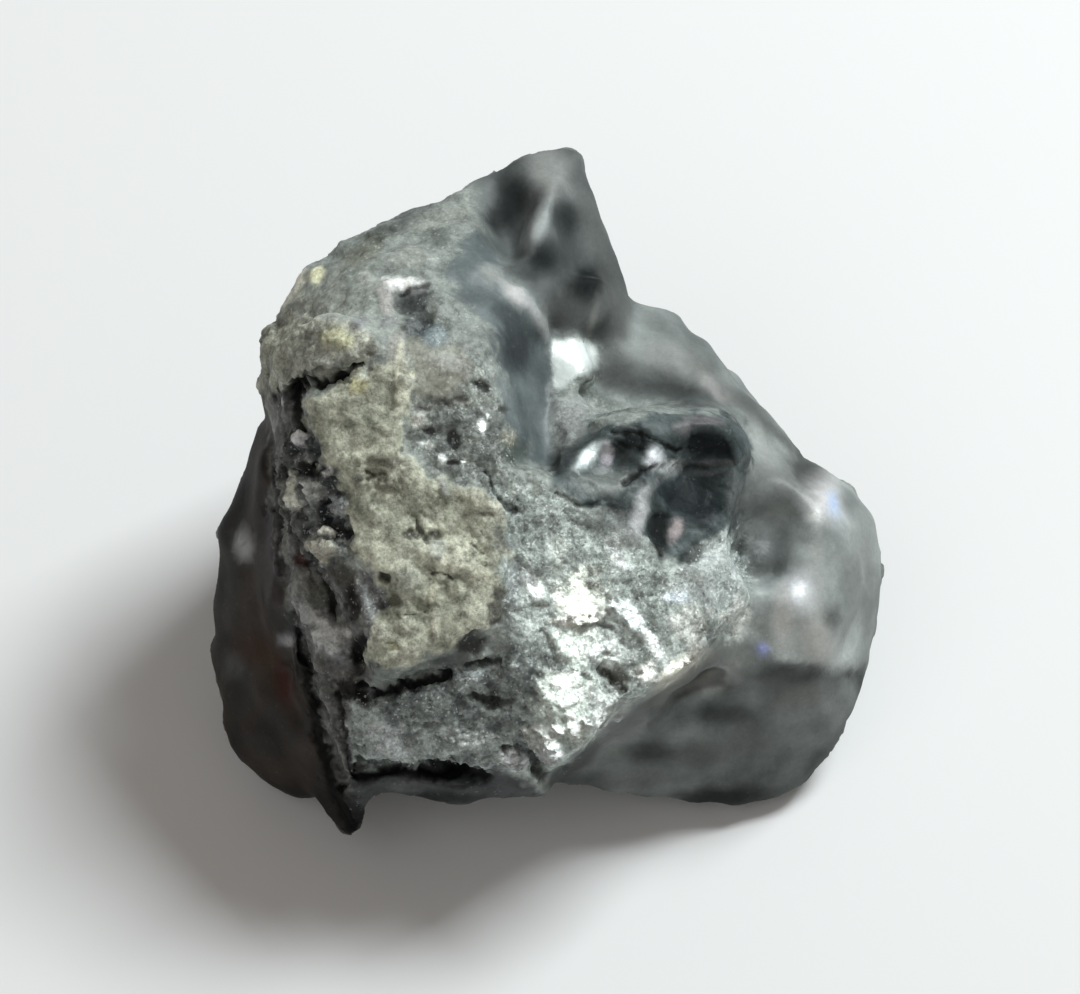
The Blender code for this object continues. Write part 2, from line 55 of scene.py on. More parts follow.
# Places on the broad face are in mm from its origin: x to the right, y up the face, z out of it.
# A patch has its closed edge, how ragged and how soft (mm) that is, a dark and a light colour, how far
# fine grain shows in them, how rough, glittery, dull and metallic it is, and its relief: kind, size and
# height in mm.
PATCHES = {
    "shoulder": dict(
        edge=None, ragged=1.0, soft=0.1, dark=(0.166, 0.187, 0.179), light=(0.363, 0.4, 0.372), grain=0.6,
        roughness=0.5, glitter=0.22, dull=0.7, metal=0.0,
        relief=[("swell", 0.45, 0.05), ("swell", 0.21, 0.024), ("swell", 0.1, 0.01), ("grains", 0.12, 0.006)],
    ),
    "hidden": dict(
        edge=None, ragged=1.0, soft=0.1, dark=(0.064, 0.073, 0.073), light=(0.288, 0.314, 0.303), grain=0.8,
        roughness=0.36, glitter=0.3, dull=0.6, metal=0.1,
        relief=[("chips", 0.45, 0.045), ("chips", 0.2, 0.026), ("swell", 0.3, 0.02)],
    ),
    "brow": dict(
        edge=[(-4.0, 2.3), (-3.4, 2.25), (-2.95, 2.2), (-2.45, 2.1), (-2.25, 1.95), (-2.2, 1.7),
              (-2.4, 1.52), (-2.75, 1.46), (-3.1, 1.4), (-3.35, 1.2), (-3.7, 1.1), (-4.1, 1.2)],
        ragged=1.0, soft=0.15, dark=(0.23, 0.24, 0.208), light=(0.56, 0.575, 0.495), grain=0.9,
        roughness=0.55, glitter=0.25, dull=0.75, metal=0.0,
        relief=[("swell", 0.36, 0.05), ("swell", 0.17, 0.03), ("grains", 0.1, 0.01), ("swell", 0.07, 0.01)],
    ),
    "flank": dict(
        edge=[(-3.62, 1.25), (-3.62, 0.3), (-3.5, -0.7), (-3.42, -1.4), (-3.18, -2.4), (-2.9, -3.4),
              (-2.72, -4.0), (-2.3, -5.0), (-5.0, -5.0), (-5.0, 1.25)],
        ragged=0.7, soft=0.16, dark=(0.006, 0.005, 0.004), light=(0.04, 0.031, 0.025), grain=0.15,
        roughness=0.34, glitter=0.02, dull=0.85, metal=0.0,
        relief=[("swell", 0.5, 0.03)],
    ),
    "plates": dict(
        edge=[(-3.62, 1.25), (-3.2, 1.22), (-3.02, 0.6), (-2.9, -0.3), (-2.62, -0.95), (-2.25, -1.45),
              (-2.34, -2.05), (-2.2, -2.4), (-2.5, -2.66), (-2.58, -3.3), (-2.36, -3.9), (-2.3, -5.0),
              (-2.72, -4.0), (-2.9, -3.4), (-3.18, -2.4), (-3.42, -1.4), (-3.5, -0.7), (-3.62, 0.3)],
        ragged=1.0, soft=0.1, dark=(0.019, 0.02, 0.02), light=(0.235, 0.24, 0.228), grain=0.8,
        roughness=0.45, glitter=0.2, dull=0.7, metal=0.0,
        relief=[("swell", 0.3, 0.045), ("chips", 0.24, 0.03), ("swell", 0.12, 0.018)],
    ),
    "pitted": dict(
        edge=[(-3.16, 0.8), (-2.9, 0.6), (-2.78, 0.28), (-2.46, 0.06), (-2.46, -0.4), (-2.4, -0.85),
              (-2.66, -0.98), (-3.02, -1.0), (-3.34, -0.55), (-3.48, 0.05), (-3.36, 0.5)],
        ragged=1.0, soft=0.14, dark=(0.023, 0.029, 0.03), light=(0.256, 0.277, 0.264), grain=1.0,
        roughness=0.45, glitter=0.4, dull=0.6, metal=0.0,
        relief=[("grains", 0.24, 0.07), ("grains", 0.12, 0.03), ("swell", 0.3, 0.05), ("swell", 0.06, 0.01)],
    ),
    "sparkle": dict(
        edge=[(-2.5, -0.95), (-2.25, -1.02), (-2.02, -1.22), (-1.98, -1.5), (-2.2, -1.74), (-2.42, -1.66),
              (-2.46, -1.3)],
        ragged=1.0, soft=0.12, dark=(0.03, 0.034, 0.036), light=(0.33, 0.352, 0.35), grain=1.0,
        roughness=0.42, glitter=0.6, dull=0.5, metal=0.0,
        relief=[("grains", 0.15, 0.03), ("swell", 0.2, 0.03)],
    ),
    "foot": dict(
        edge=[(-2.55, -3.6), (-1.7, -3.66), (-0.8, -3.66), (-0.2, -3.7), (0.1, -4.6), (-2.6, -4.6)],
        ragged=1.0, soft=0.12, dark=(0.013, 0.015, 0.017), light=(0.08, 0.086, 0.09), grain=0.4,
        roughness=0.42, glitter=0.08, dull=0.7, metal=0.0,
        relief=[("chips", 0.3, 0.03), ("swell", 0.3, 0.03)],
    ),
    "block": dict(
        edge=[(-2.55, -2.7), (-1.95, -2.55), (-1.42, -2.4), (-0.9, -2.24), (-0.4, -1.95), (-0.05, -2.3),
              (-0.15, -3.0), (-0.15, -3.7), (-0.8, -3.66), (-1.7, -3.66), (-2.45, -3.62), (-2.6, -3.3)],
        ragged=1.0, soft=0.12, dark=(0.087, 0.105, 0.102), light=(0.447, 0.506, 0.486), grain=1.1,
        roughness=0.42, glitter=0.5, dull=0.55, metal=0.05,
        relief=[("chips", 0.36, 0.035), ("swell", 0.4, 0.035), ("chips", 0.14, 0.022),
                ("grains", 0.09, 0.012)],
    ),
    "under": dict(
        edge=[(0.02, -3.72), (0.65, -3.14), (1.35, -2.52), (2.15, -2.02), (2.6, -1.85), (3.1, -2.22),
              (3.6, -2.42), (4.2, -2.4), (4.8, -2.45), (4.4, -4.8), (0.0, -4.8)],
        ragged=0.6, soft=0.22, dark=(0.054, 0.064, 0.061), light=(0.215, 0.238, 0.232), grain=0.15,
        roughness=0.5, glitter=0.02, dull=0.85, metal=0.0,
        relief=[("swell", 0.6, 0.05), ("swell", 0.3, 0.02)],
    ),
    "lobe": dict(
        edge=[(2.62, 0.75), (3.4, 0.52), (4.2, 0.1), (4.8, -0.9), (4.8, -2.45), (4.2, -2.4), (3.6, -2.42),
              (3.1, -2.22), (2.6, -1.85), (2.66, -0.8), (2.5, -0.1)],
        ragged=0.6, soft=0.28, dark=(0.163, 0.185, 0.183), light=(0.435, 0.476, 0.466), grain=0.15,
        roughness=0.45, glitter=0.02, dull=0.7, metal=0.0,
        relief=[("swell", 0.55, 0.05)],
    ),
    "slope": dict(
        edge=[(0.66, 2.0), (1.0, 2.75), (1.75, 2.6), (2.6, 1.75), (3.4, 0.52), (2.62, 0.75), (2.3, 1.02),
              (1.5, 1.08), (0.6, 1.2)],
        ragged=0.6, soft=0.3, dark=(0.114, 0.13, 0.127), light=(0.309, 0.342, 0.334), grain=0.12,
        roughness=0.5, glitter=0.02, dull=0.85, metal=0.0,
        relief=[("swell", 0.45, 0.05)],
    ),
    "peak": dict(
        edge=[(-1.1, 4.3), (0.3, 5.0), (1.3, 2.7), (1.05, 2.0), (0.62, 1.96), (0.05, 1.98), (-0.12, 2.35),
              (-0.5, 2.8), (-0.85, 3.3), (-0.95, 3.8)],
        ragged=0.6, soft=0.28, dark=(0.034, 0.041, 0.042), light=(0.161, 0.18, 0.179), grain=0.12,
        roughness=0.5, glitter=0.01, dull=0.85, metal=0.0,
        relief=[("swell", 0.6, 0.03)],
    ),
    "wall": dict(
        edge=[(-1.15, 3.2), (-0.85, 3.3), (-0.5, 2.8), (-0.12, 2.35), (0.05, 1.98), (0.04, 1.36),
              (0.08, 0.8), (0.1, 0.35), (-0.3, 0.28), (-0.5, 0.8), (-0.6, 1.5), (-0.72, 2.05), (-1.1, 2.4),
              (-1.3, 2.8)],
        ragged=0.8, soft=0.16, dark=(0.051, 0.066, 0.071), light=(0.199, 0.239, 0.244), grain=0.2,
        roughness=0.42, glitter=0.03, dull=0.8, metal=0.0,
        relief=[("swell", 0.4, 0.03)],
    ),
    "speckled": dict(
        edge=[(-1.85, 2.25), (-1.2, 2.1), (-0.75, 1.6), (-0.62, 1.0), (-0.42, 0.6), (-0.3, 0.28),
              (0.12, -0.02), (-0.3, -0.2), (-0.62, -0.1), (-1.4, 0.3), (-1.8, 0.6), (-1.75, 1.5)],
        ragged=1.6, soft=0.3, dark=(0.102, 0.118, 0.111), light=(0.367, 0.404, 0.378), grain=1.0,
        roughness=0.42, glitter=0.35, dull=0.55, metal=0.0,
        relief=[("grains", 0.14, 0.014), ("chips", 0.22, 0.018), ("swell", 0.3, 0.03),
                ("swell", 0.06, 0.007)],
    ),
    "slab": dict(
        edge=[(-1.82, 1.88), (-1.45, 1.96), (-1.08, 1.82), (-0.96, 1.44), (-1.16, 1.16), (-1.66, 1.12)],
        ragged=1.0, soft=0.25, dark=(0.185, 0.195, 0.165), light=(0.42, 0.438, 0.385), grain=0.35,
        roughness=0.5, glitter=0.25, dull=0.7, metal=0.0,
        relief=[("swell", 0.3, 0.03), ("grains", 0.12, 0.01)],
    ),
    "silver": dict(
        edge=[(-0.72, 0.02), (-0.3, 0.1), (0.12, -0.1), (0.6, -0.36), (1.2, -0.78), (1.7, -0.98),
              (2.05, -0.72), (2.5, -0.62), (2.64, -1.1), (2.6, -1.85), (2.15, -2.02), (1.35, -2.52),
              (0.65, -3.14), (0.02, -3.72), (-0.4, -3.7), (-0.15, -3.0), (-0.05, -2.3), (-0.4, -1.95),
              (-0.5, -1.45), (-0.6, -0.65)],
        ragged=1.3, soft=0.22, dark=(0.237, 0.275, 0.259), light=(0.592, 0.669, 0.634), grain=0.9,
        roughness=0.4, glitter=0.55, dull=0.6, metal=0.0,
        relief=[("chips", 0.4, 0.036), ("chips", 0.16, 0.014), ("swell", 0.2, 0.018),
                ("grains", 0.08, 0.007)],
    ),
    "pale_plate": dict(
        edge=[(1.75, -0.95), (2.05, -0.72), (2.5, -0.62), (2.62, -1.0), (2.5, -1.45), (2.15, -1.62),
              (1.72, -1.5), (1.62, -1.2)],
        ragged=0.9, soft=0.3, dark=(0.36, 0.41, 0.4), light=(0.62, 0.68, 0.665), grain=0.75,
        roughness=0.42, glitter=0.5, dull=0.5, metal=0.1,
        relief=[("swell", 0.3, 0.02), ("chips", 0.2, 0.012), ("grains", 0.09, 0.006)],
    ),
    "glass": dict(
        edge=[(0.04, 0.44), (0.34, 0.74), (0.9, 0.9), (1.6, 0.98), (2.4, 0.98), (2.72, 0.62), (2.52, -0.1),
              (2.36, -0.58), (2.0, -0.72), (1.7, -0.98), (1.25, -0.7), (0.95, -0.32), (0.45, -0.22),
              (0.1, 0.05)],
        ragged=0.8, soft=0.12, dark=(0.013, 0.018, 0.019), light=(0.105, 0.134, 0.136), grain=0.4,
        roughness=0.46, glitter=0.04, dull=0.82, metal=0.0,
        relief=[("chips", 0.34, 0.024), ("swell", 0.22, 0.014)],
    ),
    # A small flat facet that catches the key light: its near-white colour is a painted highlight.
    "white_face": dict(
        edge=[(0.05, 1.95), (0.5, 1.96), (0.62, 1.85), (0.67, 1.58), (0.42, 1.5), (0.28, 1.42), (0.2, 1.3),
              (0.09, 1.3), (0.07, 1.5)],
        ragged=0.15, soft=0.08, dark=(0.7, 0.78, 0.76), light=(0.88, 0.94, 0.93), grain=0.0,
        roughness=0.34, glitter=0.02, dull=0.4, metal=0.1,
        relief=[("swell", 0.3, 0.002)],
    ),
    "crust": dict(
        edge=[(-3.14, 1.14), (-2.72, 1.28), (-2.45, 1.46), (-2.1, 1.62), (-1.95, 1.74), (-1.76, 1.3),
              (-1.74, 0.9), (-1.86, 0.5), (-1.5, 0.16), (-0.98, 0.02), (-0.62, -0.16), (-0.46, -0.45),
              (-0.58, -0.8), (-0.52, -1.47), (-0.8, -1.8), (-1.1, -1.9), (-1.45, -2.14), (-2.15, -2.36),
              (-2.36, -2.05), (-2.25, -1.75), (-2.0, -1.5), (-2.2, -1.15), (-2.45, -0.85), (-2.55, -0.4),
              (-2.48, 0.05), (-2.8, 0.28), (-2.92, 0.62), (-3.1, 0.85)],
        ragged=1.2, soft=0.1, dark=(0.25, 0.263, 0.206), light=(0.69, 0.71, 0.58), grain=0.9,
        roughness=0.75, glitter=0.18, dull=0.9, metal=0.0,
        relief=[("swell", 0.55, 0.05), ("swell", 0.26, 0.034), ("swell", 0.12, 0.015), ("swell", 0.06, 0.006),
                ("chips", 0.16, 0.008)],
    ),
}
PATCH_FRAY = 0.12  # mm, how far the edge of a patch wanders
HOLLOW_SHADE = 3.5  # per mm: high spots are painted paler and hollows darker, as painted light and shade of the relief

# Cracks and the dark gaps between layers: the line of each, half its width at the start and at the end,
# its depth, all in mm, and how dark it is.
# Each crack's darkness is painted shade in its gap, laid over the groove that is carved.
CRACKS = {
    "crust_top": ([(-3.3, 1.26), (-3.14, 1.38), (-2.95, 1.38), (-2.76, 1.42), (-2.58, 1.47), (-2.38, 1.58)],
                  0.085, 0.016, 0.1, 1.0),
    "crust_left": ([(-3.29, 1.24), (-3.24, 1.02), (-3.15, 0.78)], 0.07, 0.04, 0.06, 0.95),
    "side_seam": ([(-3.42, 0.3), (-3.42, -0.1), (-3.36, -0.55), (-3.24, -0.84)], 0.035, 0.03, 0.03, 0.7),
    "crust_foot": ([(-2.4, -2.56), (-2.24, -2.63), (-1.76, -2.53), (-1.46, -2.46), (-1.28, -2.39)], 0.06,
        0.045, 0.05, 1.0),
    "crust_foot_end": ([(-1.02, -2.28), (-0.86, -2.25), (-0.66, -2.21)], 0.04, 0.04, 0.03, 0.85),
    "low_gap": ([(-2.46, -3.74), (-2.0, -3.66), (-1.55, -3.7), (-1.05, -3.66), (-0.85, -3.72)], 0.05, 0.09,
        0.06, 0.95),
    "block_edge": ([(-2.72, -2.6), (-2.62, -3.3), (-2.5, -3.75)], 0.035, 0.05, 0.05, 0.8),
    "inner_gap": ([(-2.95, -1.06), (-2.82, -1.35), (-2.73, -1.7)], 0.03, 0.03, 0.04, 0.9),
    "spike_gap": ([(-3.24, -1.8), (-3.14, -2.41), (-2.95, -3.35), (-2.73, -4.16), (-2.54, -4.46)], 0.05,
        0.12, 0.03, 0.97),
    "outer_gap": ([(-3.58, 0.3), (-3.5, -0.6), (-3.44, -1.1)], 0.03, 0.03, 0.03, 0.7),
    "block_line": ([(-1.72, -3.02), (-1.5, -3.05), (-1.24, -3.02)], 0.025, 0.025, 0.02, 0.5),
    "block_notch": ([(-0.98, -2.72), (-0.72, -2.74), (-0.44, -2.73)], 0.05, 0.05, 0.03, 0.6),
    "crust_seam": ([(-1.66, -0.4), (-1.6, -0.52), (-1.51, -0.7)], 0.018, 0.03, 0.04, 0.75),
    "crust_crease": ([(-1.48, -1.06), (-1.35, -1.09), (-1.2, -1.2)], 0.022, 0.012, 0.04, 0.8),
    "crust_crease_right": ([(-0.97, -0.72), (-0.82, -0.83)], 0.014, 0.01, 0.02, 0.6),
    "crust_crease_low": ([(-1.92, -1.62), (-1.74, -1.64), (-1.58, -1.6)], 0.02, 0.02, 0.03, 0.6),
    "crust_step": ([(-2.42, 0.24), (-2.24, 0.12), (-2.06, 0.18)], 0.02, 0.03, 0.025, 0.45),
    "speckle_crack": ([(-0.79, 0.24), (-0.68, 0.0), (-0.57, -0.14), (-0.44, -0.28)], 0.015, 0.05, 0.03, 0.8),
    "silver_hole": ([(0.5, -1.76), (0.64, -1.74), (0.8, -1.8)], 0.03, 0.04, 0.03, 0.6),
    "ridge_gap": ([(0.7, -2.34), (0.84, -2.44), (0.94, -2.58)], 0.05, 0.06, 0.04, 0.6),
    "ridge_notch": ([(-0.56, -3.37), (-0.32, -3.36), (-0.18, -3.46), (-0.06, -3.74)], 0.03, 0.07, 0.05, 0.85),
    "shoulder_crease": ([(-1.9, 2.5), (-1.78, 2.6), (-1.56, 2.62)], 0.03, 0.03, 0.03, 0.8),
    "pit_rim": ([(0.86, 0.72), (1.1, 0.76), (1.26, 0.7), (1.5, 0.56), (1.72, 0.48)], 0.03, 0.045, 0.03, 0.8),
    "pit_split": ([(1.02, 0.06), (1.2, 0.2), (1.36, 0.24)], 0.05, 0.05, 0.06, 0.8),
    "pit_foot": ([(0.14, -0.06), (0.4, -0.22), (0.66, -0.18)], 0.03, 0.03, 0.04, 0.7),
}

# Single marks on the face: centre, half sizes, turn in degrees, colour, strength, how far it stands
# out or in (mm), and how much its grains flash together.
# Marks named glint, spark, glow, sheen or highlight are painted highlights, and those named shade or shadow
# are painted shade.
MARKS = {
    "yellow_fleck": ((-3.0, 2.78), (0.08, 0.12), -20, (0.9, 0.9, 0.62), 0.92, 0.01, 0.1),
    "shoulder_square": ((-2.36, 2.72), (0.08, 0.09), 0, (0.4, 0.42, 0.39), 0.8, 0.01, 0.0),
    "shoulder_comb": ((-2.08, 2.4), (0.1, 0.25), 6, (0.4, 0.39, 0.375), 0.85, 0.03, 0.0),
    # Painted light: this mark is painted far paler than the stone, to light a hollow in shade.
    "shoulder_comb_top": ((-1.86, 2.64), (0.24, 0.1), -6, (0.92, 0.93, 0.91), 0.92, 0.03, 0.2),
    "shoulder_hollow": ((-1.76, 2.42), (0.2, 0.18), 0, (0.034, 0.04, 0.04), 0.8, 0.0, 0.0),
    "shoulder_hollow_low": ((-1.64, 2.08), (0.2, 0.18), 0, (0.055, 0.064, 0.072), 0.7, 0.0, 0.0),
    "shoulder_rim_dark": ((-2.16, 3.34), (0.24, 0.1), 22, (0.065, 0.075, 0.065), 0.75, -0.02, 0.0),
    "shoulder_pale": ((-1.84, 3.02), (0.24, 0.14), 12, (0.34, 0.35, 0.33), 0.6, 0.02, 0.0),
    "shoulder_pale_high": ((-1.4, 3.55), (0.36, 0.13), 20, (0.32, 0.34, 0.31), 0.55, 0.01, 0.0),
    "shoulder_dark_high": ((-1.45, 3.28), (0.16, 0.12), 0, (0.085, 0.1, 0.095), 0.6, -0.01, 0.0),
    "shoulder_green": ((-2.45, 3.05), (0.3, 0.14), 30, (0.16, 0.165, 0.12), 0.6, 0.0, 0.0),
    "shoulder_blue": ((-0.95, 2.95), (0.26, 0.3), 0, (0.11, 0.135, 0.14), 0.6, 0.0, 0.0),
    "shoulder_left_dark": ((-3.16, 2.36), (0.1, 0.09), 0, (0.2, 0.205, 0.17), 0.45, -0.01, 0.0),
    # Painted light: painted far paler than the stone, on a slope that faces away from the key light.
    "shoulder_left_pale": ((-3.34, 2.64), (0.13, 0.28), -32, (0.88, 0.87, 0.74), 0.88, 0.0, 0.1),
    "knuckle": ((-3.5, 1.88), (0.2, 0.26), 0, (0.33, 0.335, 0.275), 0.7, 0.02, 0.0),
    "shoulder_left_light": ((-3.1, 2.3), (0.6, 0.42), 30, (0.36, 0.37, 0.31), 0.3, 0.0, 0.0),
    "brow_yellow": ((-2.66, 1.9), (0.19, 0.13), -10, (0.56, 0.56, 0.37), 0.88, 0.02, 0.25),
    "brow_shadow": ((-2.26, 1.8), (0.07, 0.12), 0, (0.075, 0.07, 0.055), 0.7, -0.02, 0.0),
    "brow_spark": ((-2.42, 2.12), (0.1, 0.07), 40, (0.26, 0.27, 0.285), 0.75, 0.0, 0.1),
    "brow_dark": ((-3.02, 1.92), (0.11, 0.1), 0, (0.11, 0.115, 0.098), 0.55, -0.02, 0.0),
    "glitter_blue": ((-1.42, 1.95), (0.16, 0.13), 0, (0.27, 0.34, 0.37), 0.7, 0.0, 0.3),
    "glitter_mid": ((-2.02, 2.14), (0.14, 0.06), 0, (0.19, 0.205, 0.205), 0.7, 0.0, 0.2),
    "comb_low": ((-1.96, 1.86), (0.09, 0.18), -20, (0.37, 0.37, 0.34), 0.75, 0.02, 0.0),
    "comb_streak": ((-1.9, 1.62), (0.055, 0.24), -4, (0.66, 0.66, 0.53), 0.9, 0.03, 0.0),
    "comb_streak_foot": ((-1.84, 1.16), (0.085, 0.28), -8, (0.68, 0.69, 0.56), 0.92, 0.03, 0.0),
    "upper_slab": ((-1.42, 1.48), (0.4, 0.3), -10, (0.39, 0.4, 0.345), 0.85, 0.03, 0.0),
    # A painted highlight on the upper slab.
    "upper_slab_pale": ((-1.27, 1.63), (0.24, 0.11), -18, (0.46, 0.48, 0.445), 0.85, 0.02, 0.0),
    "upper_slab_edge": ((-1.1, 1.52), (0.05, 0.12), 30, (0.38, 0.39, 0.36), 0.7, 0.01, 0.0),
    "upper_slab_shade": ((-1.48, 1.05), (0.24, 0.08), 0, (0.09, 0.094, 0.083), 0.75, -0.02, 0.0),
    "spark_tall": ((-0.85, 0.79), (0.045, 0.085), 20, (0.9, 0.95, 0.92), 1.0, 0.01, 1.0),
    "spark_small": ((-0.76, 0.94), (0.025, 0.025), 0, (0.8, 0.83, 0.81), 0.8, 0.0, 0.8),
    "spark_lower": ((-1.08, 0.36), (0.03, 0.03), 0, (0.92, 0.95, 0.93), 1.0, 0.0, 1.0),
    "speck_left": ((-1.65, 0.85), (0.1, 0.08), 30, (0.66, 0.67, 0.61), 0.9, 0.02, 0.1),
    "speck_low": ((-1.54, 0.55), (0.09, 0.04), -20, (0.52, 0.55, 0.52), 0.85, 0.01, 0.2),
    "speck_mid": ((-1.35, 0.37), (0.055, 0.09), 0, (0.86, 0.92, 0.9), 0.95, 0.01, 0.4),
    "speckle_dark_high": ((-0.84, 1.3), (0.12, 0.09), -20, (0.022, 0.023, 0.02), 0.9, -0.04, 0.0),
    "speckle_dark_mid": ((-1.11, 1.15), (0.1, 0.04), 10, (0.05, 0.052, 0.046), 0.8, -0.02, 0.0),
    "speckle_dark_side": ((-0.55, 1.02), (0.08, 0.04), 10, (0.05, 0.052, 0.046), 0.8, -0.02, 0.0),
    "speckle_dark_left": ((-1.52, 0.74), (0.1, 0.05), 0, (0.04, 0.043, 0.042), 0.9, -0.03, 0.0),
    "speckle_dark": ((-1.2, 0.61), (0.09, 0.12), 0, (0.03, 0.036, 0.037), 0.9, -0.04, 0.0),
    "speckle_dark_low": ((-1.22, 0.33), (0.08, 0.05), 0, (0.04, 0.043, 0.042), 0.85, -0.03, 0.0),
    "speckle_green": ((-0.42, 0.44), (0.16, 0.14), 10, (0.06, 0.078, 0.066), 0.7, -0.02, 0.0),
    "speckle_tan": ((-0.52, 0.66), (0.1, 0.1), 0, (0.36, 0.36, 0.28), 0.6, 0.01, 0.3),
    "speckle_pale_low": ((-0.44, -0.01), (0.1, 0.07), 0, (0.44, 0.48, 0.45), 0.7, 0.01, 0.5),
    "yellow_patch": ((-2.42, 1.32), (0.13, 0.1), 20, (0.5, 0.48, 0.29), 0.82, 0.01, 0.0),
    "crust_shade_top": ((-2.2, 1.42), (0.1, 0.18), -10, (0.16, 0.16, 0.12), 0.6, -0.01, 0.0),
    "crust_pale_corner": ((-3.02, 1.05), (0.1, 0.12), 0, (0.38, 0.39, 0.32), 0.6, 0.02, 0.0),
    "crust_shade_mid": ((-2.12, 0.24), (0.24, 0.17), 10, (0.13, 0.125, 0.092), 0.75, -0.03, 0.0),
    "crust_spark_high": ((-1.97, 0.34), (0.028, 0.028), 0, (0.9, 0.92, 0.86), 1.0, 0.0, 1.0),
    "crust_spark": ((-1.97, 0.19), (0.025, 0.025), 0, (0.9, 0.92, 0.86), 1.0, 0.0, 1.0),
    "crust_spark_edge": ((-2.8, 0.23), (0.055, 0.05), 0, (0.95, 0.96, 0.94), 1.0, 0.0, 1.0),
    "crust_shade_low": ((-2.0, 0.02), (0.28, 0.1), -12, (0.14, 0.135, 0.1), 0.6, -0.02, 0.0),
    "crust_wedge": ((-1.33, 0.04), (0.055, 0.19), 24, (0.38, 0.4, 0.37), 0.85, 0.03, 0.0),
    "crust_band": ((-0.92, -0.12), (0.28, 0.09), -18, (0.5, 0.5, 0.41), 0.9, 0.03, 0.0),
    "crust_band_tip": ((-0.64, -0.28), (0.06, 0.11), 35, (0.64, 0.64, 0.54), 0.88, 0.02, 0.0),
    "crust_arch": ((-0.8, -0.33), (0.13, 0.04), -6, (0.15, 0.15, 0.12), 0.75, -0.02, 0.0),
    "crust_grey_side": ((-0.62, -0.62), (0.12, 0.22), 0, (0.17, 0.175, 0.16), 0.7, -0.01, 0.0),
    "crust_bright": ((-1.23, -0.93), (0.15, 0.13), 10, (0.78, 0.79, 0.65), 0.92, 0.05, 0.0),
    "crust_bright_left": ((-1.42, -0.76), (0.1, 0.1), 0, (0.42, 0.44, 0.4), 0.8, 0.03, 0.0),
    "crust_lump": ((-1.81, -1.16), (0.17, 0.2), 0, (0.33, 0.34, 0.29), 0.85, 0.06, 0.0),
    "crust_lump_shade": ((-1.95, -1.42), (0.09, 0.07), 20, (0.1, 0.1, 0.075), 0.85, -0.03, 0.0),
    "crust_hole": ((-2.1, -1.12), (0.1, 0.055), -20, (0.03, 0.03, 0.022), 0.93, -0.05, 0.0),
    "crust_dark_left": ((-1.76, -0.58), (0.11, 0.09), 0, (0.075, 0.075, 0.063), 0.85, -0.04, 0.0),
    "crust_dark_right": ((-1.46, -0.6), (0.08, 0.06), 20, (0.11, 0.115, 0.1), 0.8, -0.03, 0.0),
    "crust_ridge": ((-1.45, -1.32), (0.06, 0.13), -10, (0.54, 0.54, 0.42), 0.8, 0.03, 0.0),
    "crust_ridge_low": ((-1.45, -1.74), (0.06, 0.2), 4, (0.5, 0.49, 0.4), 0.8, 0.03, 0.0),
    "crust_pale_low": ((-1.84, -1.74), (0.16, 0.07), -8, (0.46, 0.47, 0.38), 0.75, 0.03, 0.0),
    "crust_pale_left": ((-2.18, -1.86), (0.1, 0.12), 20, (0.46, 0.46, 0.39), 0.8, 0.03, 0.0),
    "crust_pale_foot": ((-1.8, -2.11), (0.16, 0.09), 12, (0.44, 0.43, 0.36), 0.8, 0.02, 0.0),
    "crust_moss": ((-1.97, -2.0), (0.1, 0.06), -20, (0.19, 0.18, 0.105), 0.8, -0.02, 0.0),
    "crust_pale_right": ((-0.86, -1.16), (0.14, 0.1), 20, (0.62, 0.62, 0.5), 0.8, 0.03, 0.0),
    "crust_end_shade": ((-0.64, -1.52), (0.13, 0.26), -14, (0.11, 0.11, 0.098), 0.85, -0.03, 0.0),
    "crust_end_dark": ((-0.98, -1.99), (0.19, 0.12), 14, (0.022, 0.023, 0.021), 0.9, -0.05, 0.0),
    # Painted shadow under the crust's lower ledge.
    "crust_under": ((-1.24, -2.22), (0.3, 0.09), 18, (0.085, 0.092, 0.092), 0.85, -0.02, 0.0),
    "side_fleck": ((-3.47, 1.12), (0.02, 0.06), 10, (0.55, 0.56, 0.54), 0.9, 0.01, 0.3),
    # Painted light: side_pale_high, side_pale, side_bright, side_grey and side_lump_top are painted far paler
    # than the stone, to light spots on a side in shade.
    "side_pale_high": ((-3.19, 0.66), (0.1, 0.08), 0, (0.93, 0.93, 0.96), 0.95, 0.04, 0.3),
    "side_slate": ((-3.0, 0.52), (0.15, 0.12), 0, (0.05, 0.062, 0.066), 0.85, 0.0, 0.0),
    "side_black": ((-3.05, 0.22), (0.2, 0.12), -10, (0.01, 0.01, 0.01), 0.95, -0.04, 0.0),
    "side_pale": ((-3.33, 0.04), (0.1, 0.14), 0, (0.68, 0.7, 0.62), 0.92, 0.05, 0.1),
    "side_bright": ((-3.29, -0.19), (0.1, 0.09), 0, (0.95, 0.96, 0.86), 0.95, 0.04, 0.3),
    "side_grey": ((-2.99, -0.02), (0.15, 0.12), 0, (0.64, 0.665, 0.65), 0.9, 0.05, 0.2),
    "side_black_mid": ((-2.86, -0.32), (0.09, 0.18), -14, (0.014, 0.018, 0.02), 0.95, -0.05, 0.0),
    "side_grains": ((-2.68, -0.22), (0.11, 0.14), 0, (0.38, 0.41, 0.42), 0.8, 0.05, 0.3),
    "side_black_low": ((-2.64, -0.56), (0.14, 0.08), -10, (0.018, 0.021, 0.021), 0.95, -0.04, 0.0),
    "side_lump": ((-2.86, -0.77), (0.15, 0.13), -20, (0.47, 0.46, 0.385), 0.9, 0.06, 0.0),
    "side_lump_top": ((-2.85, -0.55), (0.09, 0.07), 0, (0.9, 0.88, 0.78), 0.95, 0.04, 0.1),
    "side_fleck_low": ((-3.15, -0.79), (0.06, 0.05), 0, (0.26, 0.26, 0.25), 0.85, 0.03, 0.0),
